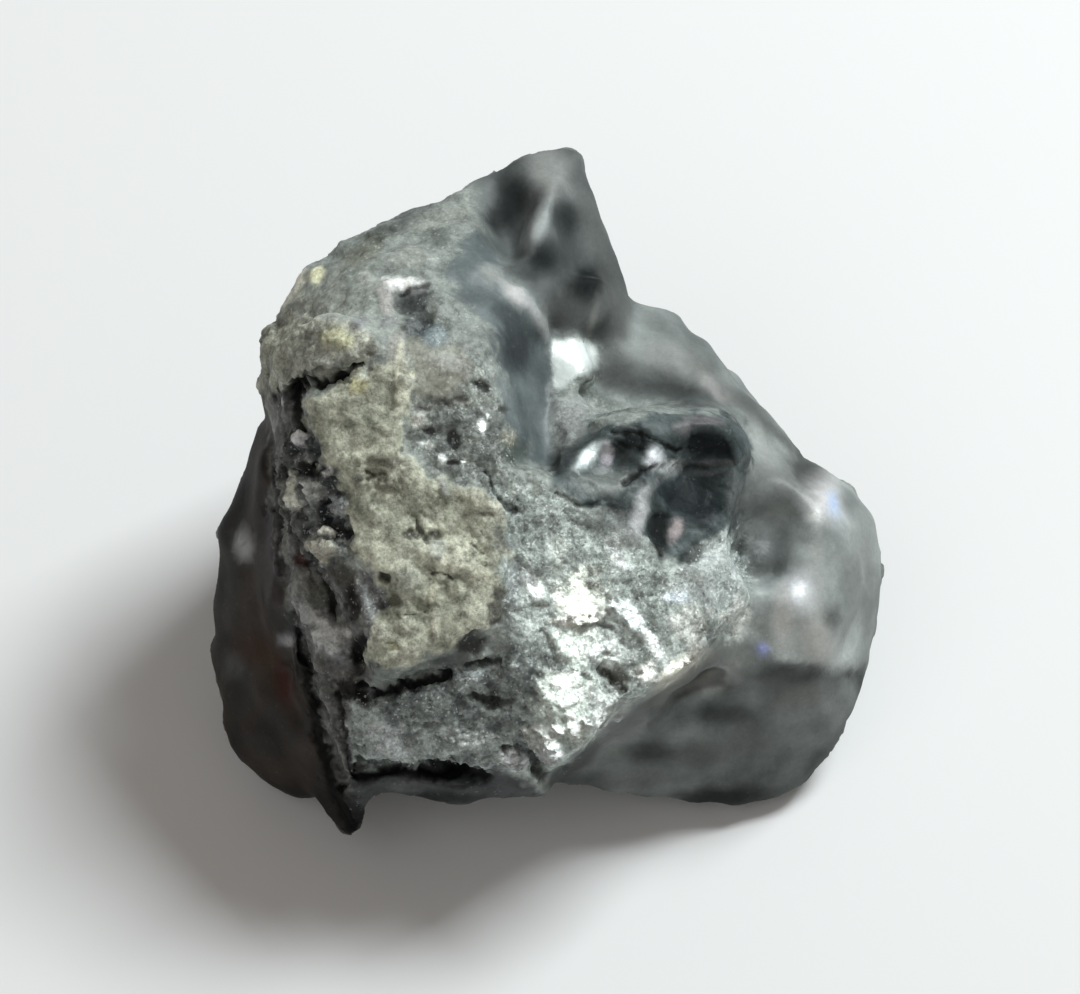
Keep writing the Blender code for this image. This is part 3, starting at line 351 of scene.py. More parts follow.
    "side_red": ((-3.19, -0.93), (0.12, 0.06), -30, (0.055, 0.018, 0.015), 0.85, 0.0, 0.0),
    "side_earth": ((-2.66, -1.1), (0.18, 0.12), -20, (0.055, 0.05, 0.038), 0.8, 0.0, 0.0),
    "side_earth_low": ((-2.5, -1.5), (0.13, 0.2), 10, (0.012, 0.009, 0.008), 0.9, -0.02, 0.0),
    "side_moss": ((-2.97, -1.38), (0.15, 0.16), -20, (0.1, 0.105, 0.085), 0.8, 0.03, 0.0),
    "sparkle_pale": ((-2.3, -1.5), (0.1, 0.2), 8, (0.28, 0.3, 0.3), 0.7, 0.02, 0.4),
    "leaf_high": ((-3.12, -1.6), (0.09, 0.19), 30, (0.38, 0.39, 0.39), 0.85, 0.03, 0.1),
    "leaf": ((-2.8, -1.92), (0.18, 0.27), 34, (0.58, 0.6, 0.6), 0.88, 0.04, 0.3),
    "leaf_spark": ((-2.61, -1.87), (0.05, 0.045), 0, (0.95, 0.96, 0.95), 1.0, 0.0, 1.0),
    "leaf_spark_low": ((-2.69, -1.97), (0.03, 0.04), 0, (0.8, 0.82, 0.82), 1.0, 0.0, 0.9),
    "leaf_foot": ((-2.68, -2.26), (0.14, 0.14), 20, (0.16, 0.165, 0.17), 0.7, 0.0, 0.0),
    # Painted shade of a gap that the solid doesn't have.
    "corner_black": ((-2.43, -2.06), (0.08, 0.19), -10, (0.005, 0.006, 0.005), 0.97, -0.05, 0.0),
    "outer_dark": ((-3.36, -1.72), (0.1, 0.16), 0, (0.022, 0.026, 0.024), 0.85, -0.02, 0.0),
    "outer_leaf": ((-3.43, -1.96), (0.09, 0.08), 0, (0.27, 0.275, 0.295), 0.8, 0.03, 0.1),
    "outer_spark": ((-3.36, -1.98), (0.03, 0.03), 0, (0.7, 0.72, 0.74), 0.95, 0.0, 0.9),
    "outer_streak": ((-3.58, -0.9), (0.06, 0.6), 8, (0.075, 0.066, 0.076), 0.7, 0.0, 0.0),
    "spike_black": ((-2.62, -4.25), (0.22, 0.5), 30, (0.006, 0.006, 0.006), 0.9, 0.0, 0.0),
    "thin_edge": ((-2.62, -3.0), (0.035, 0.55), 8, (0.15, 0.15, 0.155), 0.7, 0.02, 0.0),
    "block_pale": ((-2.02, -3.24), (0.27, 0.18), -30, (0.46, 0.5, 0.5), 0.85, 0.03, 0.3),
    "block_pale_right": ((-0.98, -3.22), (0.28, 0.11), 5, (0.44, 0.48, 0.47), 0.7, 0.02, 0.5),
    "block_dark": ((-0.72, -2.73), (0.22, 0.09), 0, (0.03, 0.032, 0.03), 0.8, -0.02, 0.0),
    "block_dark_left": ((-2.36, -2.72), (0.16, 0.1), 0, (0.03, 0.034, 0.034), 0.7, -0.03, 0.0),
    "block_corner": ((-2.56, -2.6), (0.19, 0.16), 0, (0.007, 0.006, 0.006), 0.93, 0.0, 0.0),
    "block_top": ((-1.02, -2.46), (0.4, 0.07), 16, (0.2, 0.22, 0.217), 0.7, 0.02, 0.4),
    "foot_recess": ((-1.1, -3.72), (0.24, 0.12), -20, (0.008, 0.012, 0.012), 0.9, -0.02, 0.0),
    "foot_low": ((-1.4, -4.02), (0.55, 0.06), 0, (0.016, 0.02, 0.02), 0.8, 0.0, 0.0),
    "foot_dark": ((-1.34, -3.64), (0.26, 0.13), 0, (0.01, 0.014, 0.014), 0.9, -0.05, 0.0),
    "foot_dark_left": ((-2.05, -3.66), (0.22, 0.07), 6, (0.014, 0.017, 0.017), 0.85, -0.03, 0.0),
    "foot_pale": ((-1.75, -3.88), (0.2, 0.1), 0, (0.095, 0.1, 0.105), 0.6, 0.02, 0.0),
    "flank_spot": ((-4.0, -0.74), (0.12, 0.19), 10, (0.42, 0.43, 0.44), 0.88, 0.0, 0.0),
    "flank_brown": ((-3.72, -2.2), (0.2, 0.26), 0, (0.045, 0.026, 0.012), 0.7, 0.0, 0.0),
    "flank_spot_low": ((-4.14, -2.32), (0.15, 0.17), 0, (0.08, 0.082, 0.078), 0.7, 0.0, 0.0),
    "flank_red": ((-3.46, -2.52), (0.1, 0.26), 10, (0.05, 0.012, 0.006), 0.8, 0.0, 0.0),
    "flank_red_high": ((-3.92, -2.1), (0.26, 0.22), 0, (0.038, 0.016, 0.008), 0.7, 0.0, 0.0),
    "flank_green": ((-4.25, -1.1), (0.16, 0.4), 0, (0.022, 0.027, 0.023), 0.6, 0.0, 0.0),
    # Painted highlights, partly real: the glow marks and the near-white marks below paint the silver grains
    # pale where they also flash in the key light.
    "silver_glow": ((0.45, -1.75), (0.66, 0.66), -40, (0.58, 0.64, 0.61), 0.45, 0.0, 0.3),
    "silver_glow_low": ((0.42, -2.78), (0.56, 0.46), 0, (0.54, 0.62, 0.58), 0.5, 0.0, 0.35),
    "silver_streak_left": ((-0.2, -1.2), (0.08, 0.18), 28, (0.94, 1.0, 0.99), 0.95, 0.02, 0.95),
    "silver_pale_edge": ((-0.44, -1.2), (0.07, 0.3), 0, (0.42, 0.45, 0.47), 0.6, 0.01, 0.2),
    "silver_top_shade": ((-0.26, -0.66), (0.26, 0.46), 0, (0.2, 0.23, 0.22), 0.4, 0.0, 0.0),
    "silver_upper": ((0.12, -0.78), (0.12, 0.18), 10, (0.62, 0.67, 0.63), 0.7, 0.01, 0.35),
    "silver_slant": ((0.88, -0.82), (0.1, 0.26), 28, (0.74, 0.79, 0.78), 0.78, 0.01, 0.4),
    # Near-white painted highlights on grains that flash together.
    "blob_top": ((0.43, -1.42), (0.27, 0.3), -20, (0.95, 1.0, 0.88), 0.95, 0.03, 0.95),
    "blob_top_foot": ((0.4, -1.66), (0.24, 0.14), 10, (0.97, 0.97, 0.88), 1.0, 0.02, 1.0),
    "blob_mid": ((0.38, -1.98), (0.28, 0.22), 30, (0.84, 0.94, 0.85), 0.86, 0.02, 0.8),
    "blob_mid_right": ((0.76, -2.1), (0.28, 0.15), -8, (0.74, 0.8, 0.77), 0.85, 0.01, 0.8),
    "blob_streak": ((1.05, -1.64), (0.32, 0.1), -46, (0.82, 0.92, 0.91), 0.95, 0.03, 0.9),
    "blob_streak_low": ((1.38, -2.04), (0.26, 0.08), -52, (0.76, 0.8, 0.78), 0.9, 0.02, 0.8),
    "blob_small": ((1.28, -2.36), (0.14, 0.12), -30, (0.88, 0.9, 0.85), 0.97, 0.03, 0.85),
    "blob_ridge": ((1.7, -2.3), (0.3, 0.12), 38, (0.98, 0.98, 0.86), 1.0, 0.03, 1.0),
    "ridge_pale": ((1.92, -2.02), (0.14, 0.12), 0, (0.5, 0.5, 0.47), 0.75, 0.02, 0.5),
    "blob_low": ((0.24, -2.66), (0.34, 0.26), 15, (0.84, 0.95, 0.86), 0.88, 0.03, 0.85),
    "blob_low_top": ((0.18, -2.44), (0.15, 0.12), 0, (0.95, 0.98, 0.92), 1.0, 0.02, 1.0),
    "blob_low_foot": ((0.34, -3.06), (0.18, 0.16), 0, (0.92, 1.0, 0.93), 1.0, 0.02, 1.0),
    "blob_low_right": ((0.74, -2.98), (0.22, 0.15), 0, (0.92, 1.0, 0.96), 1.0, 0.03, 1.0),
    "blob_low_side": ((0.74, -2.74), (0.28, 0.17), -30, (0.54, 0.57, 0.55), 0.75, 0.01, 0.6),
    "blob_round": ((-0.06, -3.22), (0.2, 0.18), 0, (0.94, 1.0, 0.95), 1.0, 0.04, 1.0),
    "blob_blue": ((0.05, -3.42), (0.15, 0.11), 10, (0.9, 0.99, 1.0), 1.0, 0.03, 1.0),
    "blob_left": ((-0.42, -3.48), (0.17, 0.12), 35, (0.92, 0.97, 1.0), 1.0, 0.03, 1.0),
    "silver_gap": ((0.06, -2.24), (0.22, 0.08), -30, (0.1, 0.115, 0.11), 0.6, -0.02, 0.0),
    "silver_dark": ((0.62, -1.2), (0.12, 0.16), 0, (0.1, 0.115, 0.11), 0.5, -0.02, 0.0),
    "ridge_brown": ((0.88, -2.46), (0.15, 0.13), -40, (0.115, 0.11, 0.092), 0.7, -0.02, 0.0),
    "ridge_brown_right": ((1.98, -1.82), (0.14, 0.1), 30, (0.12, 0.12, 0.1), 0.85, -0.02, 0.0),
    "plate_low": ((1.8, -1.72), (0.26, 0.17), 20, (0.68, 0.7, 0.66), 0.75, 0.01, 0.4),
    "plate_spark": ((2.26, -1.66), (0.08, 0.045), -20, (0.76, 0.78, 0.73), 0.8, 0.01, 0.7),
    "plate_blue": ((1.66, -1.4), (0.14, 0.07), 0, (0.8, 0.89, 0.98), 0.9, 0.0, 0.6),
    "plate_side": ((2.48, -1.68), (0.14, 0.23), 0, (0.74, 0.76, 0.73), 0.75, 0.0, 0.15),
    # Painted highlights: the white mark and the two glint marks in the pit.
    "pit_white": ((0.52, 0.42), (0.21, 0.075), 40, (0.86, 0.97, 0.96), 0.95, 0.02, 0.9),
    "pit_lilac": ((0.76, 0.44), (0.07, 0.15), 0, (0.64, 0.62, 0.68), 0.85, 0.02, 0.3),
    "pit_ledge": ((0.74, 0.1), (0.34, 0.16), 5, (0.2, 0.22, 0.21), 0.75, 0.02, 0.3),
    "pit_glint": ((1.37, 0.38), (0.11, 0.13), 0, (0.78, 0.82, 0.86), 0.95, 0.02, 0.6),
    "pit_glint_tail": ((1.56, 0.27), (0.16, 0.085), 10, (0.72, 0.77, 0.77), 0.9, 0.01, 0.4),
    "pit_bar": ((1.36, 0.04), (0.3, 0.06), 42, (0.16, 0.175, 0.18), 0.85, 0.04, 0.15),
    "pit_lip": ((1.18, -0.34), (0.1, 0.3), -16, (0.5, 0.51, 0.53), 0.85, 0.04, 0.25),
    "pit_lip_foot": ((1.0, -0.62), (0.2, 0.12), 30, (0.26, 0.28, 0.27), 0.6, 0.01, 0.3),
    "pit_black": ((2.1, 0.56), (0.38, 0.18), -6, (0.01, 0.014, 0.016), 0.92, -0.03, 0.0),
    "pit_black_mid": ((1.12, 0.6), (0.24, 0.12), 0, (0.004, 0.006, 0.006), 0.92, -0.02, 0.0),
    "pit_black_left": ((0.24, 0.38), (0.12, 0.22), -30, (0.045, 0.052, 0.054), 0.8, -0.02, 0.0),
    "pit_black_low": ((1.9, -0.12), (0.46, 0.34), -20, (0.01, 0.015, 0.017), 0.9, -0.03, 0.0),
    "pit_black_foot": ((1.44, -0.54), (0.13, 0.34), 8, (0.006, 0.008, 0.008), 0.92, -0.03, 0.0),
    "pit_black_end": ((1.86, -0.84), (0.2, 0.1), 25, (0.016, 0.02, 0.019), 0.85, -0.03, 0.0),
    "pit_pink": ((1.64, -0.54), (0.07, 0.14), -20, (0.54, 0.47, 0.48), 0.85, 0.02, 0.2),
    "pit_back": ((2.02, 0.88), (0.24, 0.07), 0, (0.135, 0.13, 0.138), 0.8, 0.03, 0.0),
    "pit_back_left": ((1.75, 0.8), (0.12, 0.08), 0, (0.15, 0.145, 0.15), 0.75, 0.02, 0.1),
    "pit_rib_high": ((2.14, 0.34), (0.3, 0.04), 4, (0.075, 0.075, 0.08), 0.8, 0.02, 0.0),
    "pit_rib_low": ((2.1, 0.2), (0.26, 0.035), 2, (0.05, 0.052, 0.056), 0.7, 0.02, 0.0),
    "pit_wall": ((2.46, -0.2), (0.12, 0.44), 6, (0.085, 0.096, 0.095), 0.75, 0.0, 0.0),
    "knob": ((0.29, 0.94), (0.26, 0.26), 0, (0.31, 0.33, 0.325), 0.85, 0.03, 0.25),
    "knob_stalk": ((0.14, 0.6), (0.1, 0.2), -20, (0.16, 0.165, 0.16), 0.6, 0.01, 0.1),
    # Painted highlights on the pale band down the wall.
    "band_high": ((-0.72, 2.78), (0.14, 0.13), -30, (0.34, 0.36, 0.35), 0.85, 0.03, 0.0),
    "band_mid": ((-0.42, 2.52), (0.2, 0.09), -42, (0.58, 0.58, 0.58), 0.9, 0.03, 0.1),
    "band_low": ((-0.12, 2.2), (0.07, 0.26), 28, (0.4, 0.42, 0.42), 0.85, 0.02, 0.0),
    "wall_dark": ((-0.38, 1.86), (0.22, 0.34), 0, (0.018, 0.023, 0.026), 0.9, -0.02, 0.0),
    "wall_dark_high": ((-0.52, 2.24), (0.22, 0.12), -35, (0.04, 0.047, 0.05), 0.7, -0.01, 0.0),
    "wall_pale_low": ((-0.16, 1.2), (0.12, 0.4), 0, (0.125, 0.148, 0.152), 0.6, 0.0, 0.0),
    "peak_tip": ((0.02, 4.2), (0.24, 0.34), 10, (0.3, 0.315, 0.305), 0.85, 0.0, 0.0),
    "peak_left_dark": ((-0.5, 3.82), (0.2, 0.34), -12, (0.014, 0.018, 0.018), 0.95, -0.04, 0.0),
    "peak_left_foot": ((-0.62, 3.56), (0.14, 0.18), 0, (0.012, 0.015, 0.015), 0.85, -0.02, 0.0),
    "peak_streak": ((-0.15, 3.42), (0.1, 0.33), -24, (0.46, 0.5, 0.5), 0.9, 0.02, 0.0),
    "peak_right_dark": ((0.26, 3.56), (0.14, 0.2), 0, (0.02, 0.025, 0.025), 0.85, -0.03, 0.0),
    "peak_mid_dark": ((0.18, 3.12), (0.3, 0.22), 0, (0.04, 0.047, 0.048), 0.7, -0.01, 0.0),
    "peak_low_dark": ((-0.1, 2.95), (0.21, 0.19), 0, (0.01, 0.014, 0.015), 0.9, -0.03, 0.0),
    "peak_triangle": ((0.54, 2.7), (0.4, 0.23), 30, (0.006, 0.009, 0.009), 0.97, 0.0, 0.0),
    "peak_foot": ((0.24, 2.3), (0.26, 0.24), 0, (0.062, 0.066, 0.062), 0.8, 0.0, 0.0),
    "peak_fold": ((0.58, 2.2), (0.045, 0.22), -16, (0.22, 0.225, 0.215), 0.8, 0.02, 0.0),
    "peak_right": ((0.66, 3.4), (0.16, 0.75), 18, (0.105, 0.116, 0.112), 0.75, 0.0, 0.0),
    "peak_column": ((0.88, 2.15), (0.17, 0.5), 0, (0.11, 0.118, 0.112), 0.75, 0.0, 0.0),
    "slope_glint": ((0.92, 1.18), (0.12, 0.055), 6, (0.4, 0.43, 0.42), 0.85, 0.02, 0.1),
    "slope_pale": ((1.52, 1.76), (0.27, 0.2), -25, (0.3, 0.315, 0.31), 0.8, 0.02, 0.0),
    "slope_dark": ((1.62, 1.28), (0.85, 0.16), -10, (0.042, 0.048, 0.048), 0.85, -0.03, 0.0),
    "slope_dark_left": ((0.86, 1.52), (0.26, 0.2), 0, (0.075, 0.08, 0.078), 0.7, -0.02, 0.0),
    "slope_edge": ((2.22, 1.32), (0.26, 0.1), -32, (0.32, 0.315, 0.31), 0.8, 0.02, 0.0),
    "slope_rim": ((2.62, 1.1), (0.4, 0.1), -42, (0.1, 0.108, 0.104), 0.75, 0.0, 0.0),
    "slope_brown": ((1.95, 1.66), (0.2, 0.12), -30, (0.2, 0.205, 0.195), 0.6, 0.0, 0.0),
    # Painted highlights on the glassy lobe: the pale streak, the glints and two soft sheens further down.
    "lobe_streak": ((2.8, 0.56), (0.11, 0.28), 22, (0.38, 0.4, 0.39), 0.8, 0.02, 0.0),
    "lobe_dark_top": ((3.45, 0.22), (0.28, 0.19), -30, (0.01, 0.013, 0.012), 0.97, -0.08, 0.0),
    "lobe_rim": ((3.16, 0.62), (0.4, 0.06), -40, (0.07, 0.078, 0.074), 0.7, 0.0, 0.0),
    "lobe_glint": ((3.62, -0.12), (0.15, 0.17), 0, (0.97, 0.95, 0.97), 1.0, 0.02, 0.9),
    "lobe_glint_tail": ((3.5, -0.34), (0.09, 0.09), 45, (0.62, 0.64, 0.62), 0.85, 0.01, 0.6),
    "lobe_glint_blue": ((3.76, -0.2), (0.07, 0.12), 0, (0.42, 0.6, 0.95), 0.8, 0.0, 0.5),
    "lobe_glint_low": ((3.3, -1.34), (0.14, 0.15), 0, (0.94, 0.96, 1.0), 1.0, 0.02, 0.9),
    "lobe_groove": ((2.9, -0.84), (0.36, 0.3), 0, (0.085, 0.094, 0.094), 0.75, 0.0, 0.0),
    "lobe_upper": ((3.1, 0.06), (0.5, 0.34), -20, (0.125, 0.134, 0.13), 0.65, 0.0, 0.0),
    # Painted light: a paler tone laid over the cast shadow in this corner.
    "lobe_corner": ((2.48, -2.14), (0.2, 0.16), 0, (0.24, 0.25, 0.24), 0.6, 0.0, 0.0),
    # A soft painted highlight.
    "lobe_pale_mid": ((3.52, -0.86), (0.1, 0.3), 0, (0.4, 0.43, 0.42), 0.75, 0.01, 0.0),
    "lobe_pale_left": ((3.06, -1.68), (0.12, 0.34), 0, (0.62, 0.62, 0.6), 0.8, 0.01, 0.0),
    # A soft painted highlight.
    "lobe_pale_low": ((3.52, -1.96), (0.2, 0.32), 15, (0.48, 0.48, 0.46), 0.8, 0.02, 0.0),
    "lobe_dimple": ((3.72, -1.68), (0.12, 0.15), 0, (0.08, 0.088, 0.084), 0.7, -0.02, 0.0),
    "lobe_seam": ((2.84, -1.9), (0.12, 0.22), 20, (0.15, 0.155, 0.146), 0.5, 0.0, 0.0),
    # A small blue painted glint.
    "lobe_blue": ((2.82, -2.09), (0.055, 0.055), 0, (0.3, 0.33, 0.66), 0.9, 0.0, 0.2),
    "lobe_right": ((4.2, -1.1), (0.26, 0.8), 0, (0.135, 0.145, 0.142), 0.6, 0.0, 0.0),
    "under_top_dark": ((3.3, -2.44), (0.6, 0.12), 0, (0.048, 0.054, 0.052), 0.75, -0.02, 0.0),
    # Painted light: a pale tone, with a small rise, laid over the shadow under the ridge's plate.
    "under_corner": ((2.1, -2.46), (0.34, 0.18), 10, (0.5, 0.52, 0.51), 0.88, 0.1, 0.0),
    # Painted shade along the steep wall under the ridge, which the lamps would otherwise light.
    "ridge_wall_low": ((0.42, -3.56), (0.45, 0.11), 43, (0.04, 0.044, 0.043), 0.8, 0.0, 0.0),
    "ridge_wall_mid": ((1.12, -2.94), (0.48, 0.11), 41, (0.085, 0.092, 0.09), 0.75, 0.0, 0.0),
    "ridge_wall_high": ((1.86, -2.42), (0.42, 0.12), 34, (0.055, 0.06, 0.058), 0.75, 0.0, 0.0),
    "under_pale": ((3.34, -2.74), (0.32, 0.15), 10, (0.17, 0.177, 0.17), 0.8, 0.02, 0.0),
    "under_pale_mid": ((2.3, -3.42), (0.55, 0.2), 6, (0.08, 0.086, 0.082), 0.75, 0.02, 0.0),
    "under_dark_left": ((1.42, -3.46), (0.26, 0.13), 10, (0.016, 0.02, 0.02), 0.75, -0.02, 0.0),
    "under_dark_mid": ((2.26, -2.96), (0.3, 0.14), 0, (0.02, 0.024, 0.024), 0.7, -0.02, 0.0),
    "under_lilac": ((0.95, -3.1), (0.26, 0.16), 30, (0.14, 0.14, 0.147), 0.7, 0.0, 0.0),
    "under_streak": ((1.1, -3.86), (0.5, 0.09), 8, (0.085, 0.085, 0.085), 0.6, 0.01, 0.0),
    "under_bottom": ((2.3, -4.1), (0.7, 0.16), 4, (0.008, 0.009, 0.009), 0.9, -0.02, 0.0),
}


def smoothstep(value):
    """0 below 0 and 1 above 1, with a soft rise between."""
    value = np.clip(value, 0.0, 1.0)
    return value * value * (3.0 - 2.0 * value)


def dice(corner, salt):
    """An even random number for each corner of a lattice, always the same one."""
    mixed = corner[:, 0] * 73856093 ^ corner[:, 1] * 19349663 ^ corner[:, 2] * 83492791 ^ salt * 2654435761
    mixed = (mixed ^ (mixed >> 13)) * 1274126177
    mixed = (mixed ^ (mixed >> 15)) * 668265263
    return ((mixed ^ (mixed >> 17)) & 0xFFFFFF) / 16777216.0


def swell(places, size, salt):
    """Smooth noise from about -1 to 1, with bumps of this size."""
    spots = places / size + 0.37 * salt
    corner = np.floor(spots).astype(np.int64)
    inner = spots - corner
    fade = inner ** 3 * (inner * (inner * 6.0 - 15.0) + 10.0)
    total = np.zeros(len(places))
    for step in itertools.product((0, 1), repeat=3):
        near = np.abs(1 - np.array(step) - fade).prod(axis=1)
        away = inner - step
        for axis in range(3):
            total += near * away[:, axis] * (dice(corner + step, 11 * salt + axis) - 0.5)
    return 3.4 * total


def cells(places, size, salt):
    """For the cell that each place is in: how near its centre is, how far its border, and its own tilt."""
    spots = places / size + 0.37 * salt
    corner = np.floor(spots).astype(np.int64)
    near = np.full(len(places), 9.0)
    second = np.full(len(places), 9.0)
    tilt = np.zeros(len(places))
    for step in itertools.product((-1, 0, 1), repeat=3):
        cell = corner + step
        away = spots - cell - np.stack([dice(cell, salt + axis) for axis in (0, 1, 2)], axis=1)
        reach = np.sqrt((away ** 2).sum(axis=1))
        closer = reach < near
        second = np.where(closer, near, np.minimum(second, reach))
        near = np.where(closer, reach, near)
        lean = sum(away[:, axis] * (dice(cell, salt + axis + 5) - 0.5) for axis in (0, 1, 2))
        tilt = np.where(closer, 2.0 * lean, tilt)
    return near, second - near, tilt


def relief(kind, places, size, salt):
    """One kind of surface: smooth swells, tilted chips or rounded grains."""
    if kind == "swell":
        return swell(places, size, salt)
    near, gap, tilt = cells(places, size, salt)
    if kind == "chips":
        return tilt - 0.35 * smoothstep(1.0 - gap / 0.18)
    return smoothstep(gap / 0.35) - near


def off_line(spots, line):
    """How far each spot is from a line drawn on the face, and how far along the line that is, 0 to 1."""
    nearest = np.full(len(spots), np.inf)
    travelled = np.zeros(len(spots))
    for index, (start, end) in enumerate(zip(line[:-1], line[1:])):
        start, span = np.array(start), np.array(end) - np.array(start)
        along = np.clip((spots - start) @ span / (span @ span), 0.0, 1.0)
        away = np.linalg.norm(spots - start - along[:, None] * span, axis=1)
        travelled = np.where(away < nearest, (index + along) / (len(line) - 1), travelled)
        nearest = np.minimum(nearest, away)
    return nearest, travelled


def around(places, points, reach):
    """Which places are within this reach of the box round some points on the face."""
    low, high = np.min(points, axis=0) - reach, np.max(points, axis=0) + reach
    return np.nonzero(((places[:, :2] > low) & (places[:, :2] < high)).all(axis=1) & (places[:, 2] > -2.0))[0]


def in_patch(spots, edge, soft):
    """1 well inside a closed edge drawn on the face, 0 well outside, with a soft step between."""
    inside = np.zeros(len(spots), bool)
    for (x0, y0), (x1, y1) in zip(edge, edge[1:] + edge[:1]):
        crosses = (spots[:, 1] < y0) != (spots[:, 1] < y1)
        inside ^= crosses & (spots[:, 0] < x0 + (spots[:, 1] - y0) * (x1 - x0) / (y1 - y0 + 1e-9))
    depth = off_line(spots, edge + edge[:1])[0]
    return smoothstep(0.5 + np.where(inside, depth, -depth) / soft)


def relaxed(places, edges, share, rounds):
    """Draws each point towards its neighbours, by its own share, this many times over."""
    count = len(places)
    edges = edges[(share[edges] > 0.01).any(axis=1)]
    neighbours = np.maximum(np.bincount(edges.ravel(), minlength=count), 1)[:, None]
    share = np.where(share > 0.01, share, 0.0)
    for _ in range(rounds):
        total = np.zeros((count, 3))
        for near, far in ((edges[:, 0], edges[:, 1]), (edges[:, 1], edges[:, 0])):
            for axis in range(3):
                total[:, axis] += np.bincount(near, places[far, axis], count)
        places = places + 0.5 * share[:, None] * (total / neighbours - places)
    return places


def moulded(mesh, kind, chosen=None, **settings):
    """The mesh after one modifier, as a new mesh. Only the chosen points change, if there are any."""
    holder = bpy.data.objects.new(kind, mesh)
    bpy.context.scene.collection.objects.link(holder)
    change = holder.modifiers.new(kind, kind)
    if chosen is not None:
        holder.vertex_groups.clear()
        holder.vertex_groups.new(name="chosen").add(np.nonzero(chosen)[0].tolist(), 1.0, "REPLACE")
        change.vertex_group = "chosen"
        change.vertex_group_factor = 1000.0
    for key, value in settings.items():
        setattr(change, key, value)
    graph = bpy.context.evaluated_depsgraph_get()
    made = bpy.data.meshes.new_from_object(holder.evaluated_get(graph))
    bpy.data.objects.remove(holder)
    return made


# The skin starts as the solid's own surface, laid face up in mm and cut to a fine even grain.
solid = bmesh.new()
solid.from_mesh(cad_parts["rough_diamond"].data)
solid.transform(FACE_TO_STONE.inverted())
bmesh.ops.remove_doubles(solid, verts=solid.verts, dist=1e-4)
skin = bpy.data.meshes.new("skin")
solid.to_mesh(skin)
solid.free()
skin = moulded(skin, "REMESH", mode="VOXEL", voxel_size=SKIN_VOXEL)
places = np.empty((len(skin.vertices), 3))
skin.vertices.foreach_get("co", places.ravel())
edges = np.empty((len(skin.edges), 2), np.int32)
skin.edges.foreach_get("vertices", edges.ravel())
down = np.array(FACE_TO_STONE.inverted().to_3x3() @ Vector((0, 0, -1)))
down /= np.linalg.norm(down)
floor = np.array(FACE_TO_STONE.inverted().translation) @ down
free = smoothstep((floor - places @ down) / 0.25)  # 0 on the flat that the stone rests on
places = relaxed(places, edges, free, ROUNDS_OVER_VOXELS)
skin.vertices.foreach_set("co", places.ravel())
skin.update()
outward = np.array([point.vector for point in skin.vertex_normals])

# Each patch's share of each place. A place's shares add up to 1.
fray = [swell(places, 0.32, salt) + 0.6 * swell(places, 0.12, salt + 1) for salt in (21, 23)]
fray = np.stack(fray, axis=1)
facing = smoothstep((outward[:, 2] + 0.45) * 2.0) * smoothstep((places[:, 2] + 1.8) * 1.2)
shares = {"shoulder": facing, "hidden": 1.0 - facing}
for name, patch in PATCHES.items():
    if patch["edge"] is not None:
        cover = np.zeros(len(places))
        beside = around(places, patch["edge"], 0.5)
        frayed = places[beside, :2] + PATCH_FRAY * patch["ragged"] * fray[beside]
        cover[beside] = in_patch(frayed, patch["edge"], patch["soft"]) * facing[beside]
        shares = {other: share * (1.0 - cover) for other, share in shares.items()}
        shares[name] = cover
finish = {
    key: sum(share * PATCHES[name][key] for name, share in shares.items())
    for key in ("grain", "roughness", "glitter", "dull", "metal")
}
finish["flash"] = np.zeros(len(places))

# Glassy patches are smooth: what the solid's own flats leave there is rubbed down.
places = relaxed(places, edges, free * facing * (1.0 - finish["grain"]), ROUNDS_OVER_GLASS)
skin.vertices.foreach_set("co", places.ravel())
skin.update()
outward = np.array([point.vector for point in skin.vertex_normals])

# Relief, colour and finish, patch by patch.
height = np.zeros(len(places))
blotch = 0.5 + 0.55 * swell(places, 0.75, 61) + 0.40 * swell(places, 0.36, 62)
speckle = 0.38 * swell(places, 0.17, 63) + 0.34 * swell(places, 0.085, 64)
colour = np.zeros((len(places), 3))
for salt, (name, patch) in enumerate(PATCHES.items()):
    share = shares[name]
    covered = share > 0.01
    bumps = np.zeros(len(places))
    for kind, size, rise in patch["relief"]:
        bumps[covered] += rise * relief(kind, places[covered], size, 7 * salt + int(100 * size))
    height += share * bumps
    # Painted shade in the hollows and painted light on the high spots of the patch's relief.
    light = np.clip(blotch + patch["grain"] * (speckle + HOLLOW_SHADE * bumps), 0.0, 1.0)[:, None]
    colour += share[:, None] * (np.array(patch["dark"]) * (1.0 - light) + np.array(patch["light"]) * light)

# The single marks and then the cracks go over the patches.
wobble = 0.45 * swell(places, 0.16, 81) + 0.30 * swell(places, 0.07, 83)
for centre, (half_x, half_y), turn, tone, strength, rise, flash in MARKS.values():
    turn = math.radians(turn)
    beside = around(places, [centre], 2.3 * max(half_x, half_y) + 0.05)
    grain = finish["grain"][beside]
    away = places[beside, :2] + 0.25 * min(half_x, half_y) * fray[beside] - np.array(centre)
    across = (away[:, 0] * math.cos(turn) + away[:, 1] * math.sin(turn)) / half_x
    along = (away[:, 1] * math.cos(turn) - away[:, 0] * math.sin(turn)) / half_y
    crisp = 0.55 + 1.15 * grain - 0.5 * flash
    inside = 1.05 - np.hypot(across, along) + (0.1 + grain) * wobble[beside]
    cover = smoothstep(0.5 + crisp * inside) * facing[beside]
    colour[beside] += strength * cover[:, None] * (np.array(tone) - colour[beside])
    height[beside] += rise * cover * (0.3 + 0.7 * grain)
    finish["flash"][beside] += cover * (flash - finish["flash"][beside])
    matt = strength * max(0.0, 1.0 - 12.0 * max(tone)) * cover  # the darkest marks don't shine
    finish["dull"][beside] += matt * (1.0 - finish["dull"][beside])
